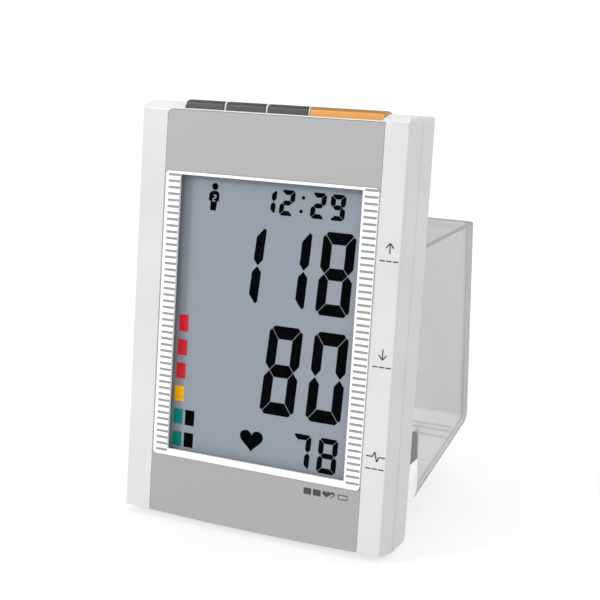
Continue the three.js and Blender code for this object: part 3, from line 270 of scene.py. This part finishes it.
def segment_outlines(width, height, upright, level, gap):
    """The seven segments of a digit, mitred at their ends, with its bottom left corner at zero."""
    middle = height / 2
    bevel = upright / 2
    trim = MITRE_TRIM * gap

    def mirrored(points, in_x, in_y):
        turned = [(width - x if in_x else x, height - y if in_y else y) for x, y in points]
        return turned[::-1] if in_x != in_y else turned

    top = [
        (bevel, height), (bevel / 2 + trim, height - bevel / 2), (upright + trim, height - level),
        (width - upright - trim, height - level), (width - bevel / 2 - trim, height - bevel / 2),
        (width - bevel, height),
    ]
    side = [
        (upright / 2, middle + trim), (upright, middle + level / 2 + trim),
        (upright, height - level - trim), (bevel / 2, height - bevel / 2 - trim),
        (0, height - bevel), (0, middle + level / 2 + trim),
    ]
    bar = [
        (upright / 2 + trim, middle), (upright + trim, middle - level / 2),
        (width - upright - trim, middle - level / 2), (width - upright / 2 - trim, middle),
        (width - upright - trim, middle + level / 2), (upright + trim, middle + level / 2),
    ]
    return {
        "a": top,
        "b": mirrored(side, True, False),
        "c": mirrored(side, True, True),
        "d": mirrored(top, False, True),
        "e": mirrored(side, False, True),
        "f": side,
        "g": bar,
    }


def digit_outlines(row):
    """All segments of a row of digits. Digits lean to the right, those on the left a little more."""
    shapes = segment_outlines(row["width"], row["height"], row["upright"], row["level"], row["gap"])
    outlines = []
    for character, right in row["digits"]:
        for letter in SEGMENTS[character]:
            outline = []
            for x, y in shapes[letter]:
                u = right - row["width"] + x
                lean = DIGIT_SLANT - DIGIT_FAN * u
                outline.append((u + (y - row["height"] / 2) * lean, row["bottom"] + y))
            outlines.append(outline)
    return outlines


# Node helpers


def set_inputs(tree, node, inputs):
    """Sets a node's inputs; each is either a value or an output to link from."""
    for key, value in inputs.items():
        if isinstance(value, bpy.types.NodeSocket):
            tree.links.new(value, node.inputs[key])
        else:
            node.inputs[key].default_value = value


def add_node(tree, kind, inputs=None, **settings):
    node = tree.nodes.new(kind)
    for key, value in settings.items():
        setattr(node, key, value)
    set_inputs(tree, node, inputs or {})
    return node


def shade(color, factor):
    """A colour of three parts, made darker or lighter, as the four parts that a socket takes."""
    return tuple(min(1.0, part * factor) for part in color) + (1.0,)


def grey(level):
    return (level, level, level, 1.0)


def blend_colors(tree, factor, first, second):
    """A mix of two colours. The node's colour sockets share their names, so they go by number."""
    return add_node(tree, "ShaderNodeMix", {0: factor, 6: first, 7: second}, data_type="RGBA").outputs[2]


def object_place(tree):
    return add_node(tree, "ShaderNodeTexCoord").outputs["Object"]


def axis_part(tree, vector, axis):
    return add_node(tree, "ShaderNodeSeparateXYZ", {"Vector": vector}).outputs[axis]


def noise(tree, place, size, detail=2.0):
    """Noise whose patches are about size metres wide."""
    node = add_node(tree, "ShaderNodeTexNoise", {"Vector": place, "Scale": 1 / size, "Detail": detail})
    return node.outputs["Fac"]


def span(tree, value, low, high, from_low=0.3, from_high=0.7):
    """Spreads a value from one range over another; a noise seldom leaves the default range."""
    node = add_node(tree, "ShaderNodeMapRange", {
        "Value": value, "From Min": from_low, "From Max": from_high, "To Min": low, "To Max": high,
    })
    return node.outputs["Result"]


def around(tree, pattern, middle, spread=0.05):
    """A value that wanders with a pattern, by the spread to both sides of its middle."""
    return span(tree, pattern, middle - spread, middle + spread)


def uneven(tree, pattern, color, low, high):
    """A colour times low where a pattern is low, and times high where the pattern is high."""
    return blend_colors(tree, span(tree, pattern, 0, 1), shade(color, low), shade(color, high))


def specked(tree, tone, pattern, share, dark):
    """A tone with specks that take up to the given share of a darker one."""
    return blend_colors(tree, span(tree, pattern, 0, share), tone, dark)


def bumped(tree, height, strength, distance, edge=None):
    """The normal of a surface with relief. With an edge radius, its sharp edges look rounded too."""
    inputs = {"Strength": strength, "Distance": distance, "Height": height}
    if edge:
        inputs["Normal"] = add_node(tree, "ShaderNodeBevel", {"Radius": edge}, samples=4).outputs["Normal"]
    return add_node(tree, "ShaderNodeBump", inputs).outputs["Normal"]


def behind_unit(tree, place):
    """One for what lies behind the back of the leaning unit, zero for the unit itself."""
    from_face = add_node(tree, "ShaderNodeVectorMath", {0: place, 1: FACE_ZERO}, operation="SUBTRACT")
    depth = add_node(tree, "ShaderNodeVectorMath", {
        0: from_face.outputs["Vector"], 1: FACE.col[1].xyz,
    }, operation="DOT_PRODUCT").outputs["Value"]
    start, full = PAINTED_LIGHT_DEPTHS_MM
    return span(tree, depth, 0, 1, start * MM, full * MM)


# Materials. Each pattern has the width of its patches, and each relief its depth.

FINE_GRAIN = 0.0006
FINE_RELIEF = 0.00002
FLOW_PATCH = 0.03
# Patches of the painted reflections on the shell behind the unit
PAINTED_REFLECTION_BLOTCH = 0.006
STREAK = 0.004
STREAK_STRETCH = (1, 12, 12)
PAINT_FLECK = 0.0003
PAINT_RELIEF = 0.00001
INK_PATCH = 0.0015
TRACKS_PER_METRE = 300.0
TRACK_RELIEF = 0.00003
POLARISER_GRAIN = 0.0004
LENS_WAVE = 0.02
BIN_WAVE = 0.05

# Heights over which the panel's and the display's tone changes
PANEL_HEIGHTS = (0.02, 0.165)
DISPLAY_HEIGHTS = (0.06, 0.147)

# The bin's plastic, by where it is: how far its normal turns sideways, upwards or both up and forwards,
# its grey, and how dense it is. A pair of greys or densities is the range of a slow unevenness.
BIN_TURNS = {"side": (0.8, 0.97), "edge": (0.1, 0.3), "floor": (0.8, 0.95), "bend": (1.22, 1.36)}
# The bend's lighter grey is a painted highlight and the edges' darker grey is painted shade.
BIN_GREYS = {"wall": (0.56, 0.6), "floor": 0.68, "edge": 0.45, "bend": 0.74, "lip": 0.18}
BIN_DENSITIES = {"wall": (0.5, 0.56), "side": (0.1, 0.13), "edge": 0.8, "lip": 0.85}


def new_material(name):
    material = bpy.data.materials.new(name)
    material.use_nodes = True
    tree = material.node_tree
    return material, tree, tree.nodes["Principled BSDF"]


def moulded(
    name, color, roughness, relief=FINE_RELIEF, mottle=0.03, edge=0.0005, painted_light_color=None, more=None,
):
    """Moulded plastic: a fine spark-eroded grain, faint flow mottling and softly rounded edges. With a
    painted light colour, what lies behind the unit has that lighter colour instead, as painted light,
    with darker soft blotches as painted reflections."""
    material, tree, shader = new_material(name)
    place = object_place(tree)
    fine = noise(tree, place, FINE_GRAIN, detail=3.0)
    tone = uneven(tree, noise(tree, place, FLOW_PATCH), color, 1 - mottle, 1 + mottle)
    if painted_light_color:
        # Painted light and painted reflections: behind the unit the shell is lighter, with darker blotches.
        painted_light = uneven(tree, noise(tree, place, PAINTED_REFLECTION_BLOTCH, detail=4.0), painted_light_color, 1, 0.82)
        tone = blend_colors(tree, behind_unit(tree, place), tone, painted_light)
    set_inputs(tree, shader, {
        "Base Color": specked(tree, tone, fine, mottle, shade(color, 0.5)),
        "Roughness": around(tree, fine, roughness),
        "Normal": bumped(tree, fine, 0.5, relief, edge),
        **(more or {}),
    })
    return material


def brushed_metal(name, color, roughness):
    """Metal with fine turning marks."""
    material, tree, shader = new_material(name)
    stretched = add_node(tree, "ShaderNodeMapping", {"Vector": object_place(tree), "Scale": STREAK_STRETCH})
    streaks = noise(tree, stretched.outputs["Vector"], STREAK, detail=4.0)
    set_inputs(tree, shader, {
        "Metallic": 1.0,
        "Base Color": uneven(tree, streaks, color, 0.85, 1.1),
        "Roughness": around(tree, streaks, roughness, 0.08),
        "Normal": bumped(tree, streaks, 0.3, FINE_RELIEF),
    })
    return material


def cap_plastic(name, color, roughness):
    """Satin plastic of a button, with painted shade: its upward faces are darker."""
    material, tree, shader = new_material(name)
    fine = noise(tree, object_place(tree), FINE_GRAIN, detail=3.0)
    up = axis_part(tree, add_node(tree, "ShaderNodeNewGeometry").outputs["Normal"], "Z")
    # Painted shade: the more a face looks up, the darker it is, down to 0.4 of the colour.
    tone = uneven(tree, up, color, 1, 0.4)
    set_inputs(tree, shader, {
        "Base Color": specked(tree, tone, fine, 0.08, shade(color, 0.6)),
        "Roughness": around(tree, fine, roughness),
        "Normal": bumped(tree, fine, 0.5, FINE_RELIEF, edge=0.0006),
        "Specular IOR Level": 0.3,
    })
    return material


def panel_paint(name, top, bottom):
    """Satin grey paint with a faint metallic fleck, a little lighter towards its top."""
    material, tree, shader = new_material(name)
    place = object_place(tree)
    fleck = noise(tree, place, PAINT_FLECK, detail=4.0)
    up = span(tree, axis_part(tree, place, "Z"), 0, 1, *PANEL_HEIGHTS)
    tone = blend_colors(tree, up, shade(bottom, 1), shade(top, 1))
    set_inputs(tree, shader, {
        "Base Color": specked(tree, tone, fleck, 0.06, shade(top, 0.7)),
        "Roughness": around(tree, fleck, 0.4, 0.04),
        "Normal": bumped(tree, fleck, 0.4, PAINT_RELIEF),
    })
    return material


def ink(name, color, specular=0.25):
    """Printing ink or a dark display segment, with a slightly uneven tone."""
    material, tree, shader = new_material(name)
    patches = noise(tree, object_place(tree), INK_PATCH)
    set_inputs(tree, shader, {
        "Base Color": uneven(tree, patches, color, 0.9, 1.1),
        "Roughness": around(tree, patches, 0.5),
        "Specular IOR Level": specular,
    })
    return material


def circuit_board(name):
    """Green solder mask with a lattice of slightly paler copper tracks under it."""
    material, tree, shader = new_material(name)
    tracks = add_node(tree, "ShaderNodeTexBrick", {
        "Vector": object_place(tree), "Scale": TRACKS_PER_METRE, "Mortar Size": 0.04,
        "Color1": (0.03, 0.15, 0.06, 1), "Color2": (0.025, 0.12, 0.05, 1), "Mortar": (0.06, 0.24, 0.09, 1),
    })
    set_inputs(tree, shader, {
        "Base Color": tracks.outputs["Color"],
        "Roughness": 0.4,
        "Normal": bumped(tree, tracks.outputs["Fac"], 0.4, TRACK_RELIEF),
    })
    return material


def display_glass(name):
    """The display's grey-blue ground: a little lighter at its top, with its polariser's faint texture."""
    material, tree, shader = new_material(name)
    place = object_place(tree)
    fine = noise(tree, place, POLARISER_GRAIN, detail=3.0)
    up = span(tree, axis_part(tree, place, "Z"), 0, 1, *DISPLAY_HEIGHTS)
    tone = blend_colors(tree, up, (0.206, 0.233, 0.271, 1), (0.208, 0.237, 0.274, 1))
    set_inputs(tree, shader, {
        "Base Color": specked(tree, tone, fine, 0.05, (0.15, 0.17, 0.2, 1)),
        "Roughness": around(tree, fine, 0.5),
        "Specular IOR Level": 0.1,
    })
    return material


def clear_lens(name):
    """The clear lens over the display: nearly all see-through, with a faint hard-coat unevenness."""
    material, tree, shader = new_material(name)
    waves = noise(tree, object_place(tree), LENS_WAVE)
    set_inputs(tree, shader, {
        "Base Color": (0.12, 0.13, 0.14, 1),
        "Roughness": span(tree, waves, 0.04, 0.08),
        "Alpha": span(tree, waves, 0.003, 0.006),
    })
    return material


def bin_plastic(name):
    """Smoky clear plastic: side walls nearly clear, back wall, floor and rounded edges denser, the rounded
    edges also darker as painted shade, the bend between floor and back lighter as a painted highlight,
    and the rim's lip darker."""
    material, tree, shader = new_material(name)
    place = object_place(tree)
    normal = add_node(tree, "ShaderNodeNewGeometry").outputs["True Normal"]

    def math_node(operation, first, second=0.0):
        return add_node(tree, "ShaderNodeMath", {0: first, 1: second}, operation=operation).outputs[0]

    def mixed(factor, first, second):
        return add_node(tree, "ShaderNodeMix", {"Factor": factor, "A": first, "B": second}).outputs["Result"]

    def turned(value, where):
        return span(tree, value, 0, 1, *BIN_TURNS[where])

    sideways = math_node("ABSOLUTE", axis_part(tree, normal, "X"))
    upwards = axis_part(tree, normal, "Z")
    up_and_forwards = math_node("SUBTRACT", upwards, axis_part(tree, normal, "Y"))
    below_rim = math_node("SUBTRACT", bin_high.z, axis_part(tree, place, "Z"))
    is_side = turned(sideways, "side")
    is_edge = math_node("MULTIPLY", turned(sideways, "edge"), math_node("SUBTRACT", 1.0, is_side))
    is_floor = turned(math_node("ABSOLUTE", upwards), "floor")
    is_bend = turned(up_and_forwards, "bend")
    is_lip = math_node("LESS_THAN", below_rim, BIN_LIP_MM * MM)

    waves = noise(tree, place, BIN_WAVE)
    dark, light = BIN_GREYS["wall"]
    tone = blend_colors(tree, span(tree, waves, 0, 1), grey(dark), grey(light))
    # The edges' darker grey is painted shade and the bend's lighter grey a painted highlight.
    for factor, where in ((is_floor, "floor"), (is_edge, "edge"), (is_bend, "bend"), (is_lip, "lip")):
        tone = blend_colors(tree, factor, tone, grey(BIN_GREYS[where]))
    wall, side = [span(tree, waves, *BIN_DENSITIES[where]) for where in ("wall", "side")]
    density = mixed(is_side, wall, side)
    for factor, where in ((is_edge, "edge"), (is_lip, "lip")):
        density = mixed(factor, density, BIN_DENSITIES[where])
    set_inputs(tree, shader, {
        "Base Color": tone,
        "Alpha": density,
        "Roughness": span(tree, waves, 0.2, 0.28),
        "Specular IOR Level": 0.15,
    })
    return material


# Finishes of the CAD nodes, by the record's material slots

FINISHES = {
    # The shell's part behind the unit is painted lighter, as painted light.
    "shell_white": moulded(
        "shell_plastic", (0.505, 0.505, 0.502), 0.42, edge=0.0002, painted_light_color=(0.86, 0.86, 0.86),
    ),
    "panel_grey": panel_paint("panel_paint", (0.303, 0.303, 0.303), (0.272, 0.274, 0.277)),
    "frame_white": moulded("frame_plastic", (0.76, 0.76, 0.76), 0.35, mottle=0.01, edge=0.0003),
    "lens_clear": clear_lens("lens_plastic"),
    "lcd_glass": display_glass("display_ground"),
    "reflector": moulded("reflector_sheet", (0.8, 0.8, 0.74), 0.5),
    "inner_plastic": moulded("holder_plastic", (0.66, 0.66, 0.62), 0.55),
    "circuit_board": circuit_board("board_laminate"),
    "component_black": moulded("component_plastic", (0.02, 0.02, 0.022), 0.5),
    "button_grey": cap_plastic("grey_button_plastic", (0.055, 0.058, 0.062), 0.42),
    "button_orange": cap_plastic("orange_button_plastic", (0.58, 0.27, 0.056), 0.38),
    "cell_jacket": moulded("cell_sleeve", (0.05, 0.1, 0.2), 0.3, more={"Metallic": 0.4}),
    "nickel": brushed_metal("nickel_plate", (0.65, 0.62, 0.56), 0.3),
    "steel": brushed_metal("turned_steel", (0.5, 0.51, 0.53), 0.35),
    "tubing": moulded("tube_silicone", (0.6, 0.64, 0.64), 0.55),
    "dark_grey": moulded("catch_plastic", (0.13, 0.13, 0.134), 0.5),
    "rubber_dark": moulded("foot_rubber", (0.04, 0.04, 0.042), 0.85, relief=0.00005),
    "bin_clear": bin_plastic("bin_plastic"),
}


# Smooth shading of the CAD nodes

SHARP_DEGREES = 40
MERGE_DISTANCE = 0.000002


def smoothing_group():
    """Joins each face's own corners and marks only the steeper edges as sharp."""
    group = bpy.data.node_groups.new("smooth_gentle_edges", "GeometryNodeTree")
    group.interface.new_socket("Mesh", in_out="INPUT", socket_type="NodeSocketGeometry")
    group.interface.new_socket("Mesh", in_out="OUTPUT", socket_type="NodeSocketGeometry")
    source = add_node(group, "NodeGroupInput").outputs["Mesh"]
    merged = add_node(group, "GeometryNodeMergeByDistance", {"Geometry": source, "Distance": MERGE_DISTANCE})
    angle = add_node(group, "GeometryNodeInputMeshEdgeAngle").outputs["Unsigned Angle"]
    sharp = add_node(
        group, "FunctionNodeCompare", {0: angle, 1: math.radians(SHARP_DEGREES)}, operation="GREATER_THAN",
    )
    normals = add_node(group, "GeometryNodeSetMeshNormal", {
        "Mesh": merged.outputs["Geometry"], "Remove Custom": True,
        "Edge Sharpness": sharp.outputs["Result"], "Face Sharpness": False,
    }, mode="SHARPNESS")
    add_node(group, "NodeGroupOutput", {"Mesh": normals.outputs["Mesh"]})
    return group


smoothing = smoothing_group()
for node in frame["nodes"].values():
    for material_slot in node.material_slots:
        material_slot.material = FINISHES[material_slot.material.name.split(".")[0]]
    smooth = node.modifiers.new("smooth", "NODES")
    smooth.node_group = smoothing
    weighted = node.modifiers.new("flat_faces_first", "WEIGHTED_NORMAL")
    weighted.keep_sharp = True


# What the display shows

SEGMENT_BLACK = (0.0006, 0.0008, 0.001)
BLOCK_INKS = {
    "red_blocks": (0.52, 0.018, 0.027),
    "yellow_block": (0.75, 0.35, 0.003),
    "green_blocks": (0.003, 0.175, 0.148),
    "black_blocks": SEGMENT_BLACK,
}


def shown(name, outlines, material, depth=DISPLAY_PRINT_MM):
    """Something that the display shows, in its place as seen through the lens."""
    printed(name, behind_lens(outlines, depth), depth, material)


segment_ink = ink("display_segment", SEGMENT_BLACK, specular=0)
for name, row in ROWS.items():
    shown(name, digit_outlines(row), segment_ink)
shown("colon", [disc(centre, COLON_RADIUS) for centre in COLON], segment_ink)
shown("heart", [heart_outline(**HEART)], segment_ink)
shown("person", [disc(**PERSON_HEAD), PERSON_BODY], segment_ink)
ground_ink = ink("display_ground_light", (0.24, 0.28, 0.32))
shown("chest_numeral", digit_outlines(CHEST_NUMERAL), ground_ink, NUMERAL_PRINT_MM)
for name, blocks in LEVEL_BLOCKS.items():
    outlines = [box_outline(left, left + BLOCK_WIDTH, bottom, top) for left, bottom, top in blocks]
    shown(name, outlines, ink(name, BLOCK_INKS[name], specular=0))


# Scale marks on the window frame

tick_ink = ink("tick_ink", (0.23, 0.235, 0.23))
for name, (left, right, lowest) in TICK_BANDS.items():
    outlines = []
    for i in range(TICK_COUNT):
        middle = lowest + i * TICK_PITCH
        outlines.append(box_outline(left, right, middle - TICK_THICK / 2, middle + TICK_THICK / 2))
    printed(name, outlines, FRAME_PRINT_MM, tick_ink)


# Pictograms on the grey panel and generic marks beside the values


def frame_lines(left, right, bottom, top, thick):
    """The four sides of an upright box, drawn as lines inside it."""
    return [
        box_outline(left, right, bottom, bottom + thick),
        box_outline(left, right, top - thick, top),
        box_outline(left, left + thick, bottom + thick, top - thick),
        box_outline(right - thick, right, bottom + thick, top - thick),
    ]


def heart_ring(centre, width, height, thick):
    """The right half of a heart's outline, as a chain of short lines."""
    outline = heart_outline(centre, width, height, ICON_RING_STEPS)
    right_half = [point for point in outline if point[0] >= centre[0]]
    return strokes(sorted(right_half, key=lambda point: point[1]), thick)


def panel_icons():
    bottom, top = ICON_LEVEL
    middle = (bottom + top) / 2
    squares = [box_outline(left, right, bottom, top) for left, right in ICON_SQUARES]
    u, width = ICON_HEART_FULL
    heart = heart_outline((u, middle), width, top - bottom)
    u, width = ICON_HEART_RING
    ring = heart_ring((u, middle), width, top - bottom, ICON_LINE)
    battery = frame_lines(*ICON_BATTERY, bottom + ICON_LINE, top - ICON_LINE, ICON_LINE)
    return [*squares, heart, *ring, *battery]


def arrow(tip, tail):
    """An upright arrow in the middle of the marks' place, from its tail to its tip."""
    middle = sum(MARK_U) / 2
    wing = tip + (tail - tip) * ARROW_HEAD_SHARE
    head = [(middle - ARROW_WING, wing), (middle, tip), (middle + ARROW_WING, wing)]
    return [stroke((middle, tail), (middle, tip), MARK_LINE), *strokes(head, MARK_LINE)]


def pulse_line(bottom, top):
    """A trace with one beat."""
    left, right = MARK_U
    middle = (bottom + top) / 2
    start, peak, dip, end = [left + step for step in PULSE_BEAT]
    trace = [(left, middle), (start, middle), (peak, top), (dip, bottom), (end, middle), (right, middle)]
    return strokes(trace, MARK_LINE)


def dashes(bottom):
    level = bottom - DASH_DROP
    starts = [MARK_U[0] + i * DASH_PITCH for i in range(DASH_COUNT)]
    return [stroke((start, level), (start + DASH_LENGTH, level), MARK_LINE) for start in starts]


icon_ink = ink("icon_ink", (0.04, 0.04, 0.042))
printed("panel_icons", panel_icons(), FACE_PRINT_MM, icon_ink)

mark_ink = ink("mark_ink", (0.05, 0.05, 0.052))
MARK_SHAPES = {
    "upper_mark": lambda bottom, top: arrow(top, bottom),
    "lower_mark": lambda bottom, top: arrow(bottom, top),
    "pulse_mark": pulse_line,
}
for name, (bottom, top) in MARKS_V.items():
    outlines = MARK_SHAPES[name](bottom, top) + dashes(bottom)
    printed(name, outlines, FACE_PRINT_MM, mark_ink)


# The tongue inside the shells' seam, the gasket beside the window frame and the ribs on the bin's floor


def seam_tongue():
    """A strip that fills the seam round the sides and the top, a little below the surface."""
    inset = SEAM_SINK_MM + SEAM_THICK_MM / 2
    radius = TOP_CORNER_MM - inset
    side = UNIT_HALF_MM - inset
    top = UNIT_HEIGHT_MM - inset
    turns = [math.pi / 2 * i / SEAM_CORNER_STEPS for i in range(SEAM_CORNER_STEPS + 1)]
    corner = [(side - radius + radius * math.cos(a), top - radius + radius * math.sin(a)) for a in turns]
    right = [(side, SEAM_START_MM), *corner]
    return strokes(right + [(-u, v) for u, v in reversed(right)], SEAM_THICK_MM)


def floor_ribs():
    """Low ribs across the bin's sloping floor, each with a chamfered top."""
    width, height = RIB_SIZE_MM
    start_y, start_z = BIN_FLOOR_POINT_MM
    section = [
        (-width / 2, -RIB_SINK_MM), (width / 2, -RIB_SINK_MM), (width / 2, height / 2),
        (width / 4, height), (-width / 4, height), (-width / 2, height / 2),
    ]
    turn = Matrix.Rotation(BIN_FLOOR_SLOPE, 4, "X")
    prisms = []
    for y in RIBS_Y_MM:
        z = start_z + (y - start_y) * math.tan(BIN_FLOOR_SLOPE) + BIN_WALL_MM / math.cos(BIN_FLOOR_SLOPE)
        foot = FACE_ZERO + Vector((0, y, z)) * MM
        prisms.append([
            [foot + turn @ Vector((x, dy, dz)) * MM for dy, dz in section]
            for x in (-RIB_HALF_MM, RIB_HALF_MM)
        ])
    rib_plastic = moulded("rib_plastic", (0.56, 0.56, 0.56), 0.4, more={"Alpha": 0.28})
    piece = new_object("floor_ribs", prism_mesh("floor_ribs", prisms), rib_plastic)
    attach(piece, lift["child"])


tongue_plastic = moulded("tongue_plastic", (0.62, 0.62, 0.615), 0.5, edge=0.0001)
seam_front, seam_back = SEAM_MM
printed("seam_tongue", seam_tongue(), seam_back, tongue_plastic, seam_back - seam_front)

gasket = box_outline(*GASKET_U_MM, *GASKET_V_MM)
gasket_front, gasket_back = GASKET_DEPTH_MM
printed(
    "frame_gasket", [gasket], gasket_back, FINISHES["shell_white"],
    gasket_back - gasket_front,
)

floor_ribs()


# Stage, light and camera. The sky has its own strength at each of three heights of the gaze, as sines.

FLOOR_HALF = 12.0
TABLE_TONE = (0.28, 0.28, 0.28)
TABLE_GLOW = 0.61
SUN_FROM = Vector((-4.0, -3.5, 2.49))
SUN_STRENGTH = 1.66
SUN_DEGREES = 14
SKY_HEIGHTS = (0.05, 0.2, 0.9)
SKY_STRENGTHS = (1.22, 1.02, 1.52)


def white_floor():
    """A light table: most of its brightness is its own glow, which keeps the monitor's shadow soft."""
    mesh = bpy.data.meshes.new("table_top")
    corners = [(x, y, 0) for x, y in box_outline(-FLOOR_HALF, FLOOR_HALF, -FLOOR_HALF, FLOOR_HALF)]
    mesh.from_pydata(corners, [], [(0, 1, 2, 3)])
    glow = {"Emission Color": (1, 1, 1, 1), "Emission Strength": TABLE_GLOW}
    table = moulded("table_paper", TABLE_TONE, 0.8, more=glow)
    new_object("table_top", mesh, table)


def sky_light():
    world = bpy.data.worlds.new("studio")
    bpy.context.scene.world = world
    world.use_nodes = True
    tree = world.node_tree
    up = axis_part(tree, add_node(tree, "ShaderNodeTexCoord").outputs["Generated"], "Z")
    low, middle, high = SKY_HEIGHTS
    horizon, side, top = SKY_STRENGTHS
    near_horizon = span(tree, up, horizon, side, low, middle)
    overhead = span(tree, up, 0, top - side, middle, high)
    strength = add_node(tree, "ShaderNodeMath", {0: near_horizon, 1: overhead}, operation="ADD")
    set_inputs(tree, tree.nodes["Background"], {"Color": grey(1.0), "Strength": strength.outputs[0]})


def key_light():
    sun = bpy.data.lights.new("key_light", "SUN")
    sun.energy = SUN_STRENGTH
    sun.angle = math.radians(SUN_DEGREES)
    lamp = bpy.data.objects.new("key_light", sun)
    lamp.rotation_euler = SUN_FROM.to_track_quat("Z", "Y").to_euler()
    bpy.context.scene.collection.objects.link(lamp)


def camera():
    lens = bpy.data.cameras.new("camera")
    lens.lens = CAMERA_LENS
    eye = bpy.data.objects.new("camera", lens)
    eye.location = CAMERA_PLACE
    eye.rotation_euler = (CAMERA_TARGET - CAMERA_PLACE).to_track_quat("-Z", "Y").to_euler()
    bpy.context.scene.collection.objects.link(eye)
    bpy.context.scene.camera = eye


white_floor()
sky_light()
key_light()
camera()
bpy.context.scene.view_settings.view_transform = "Standard"
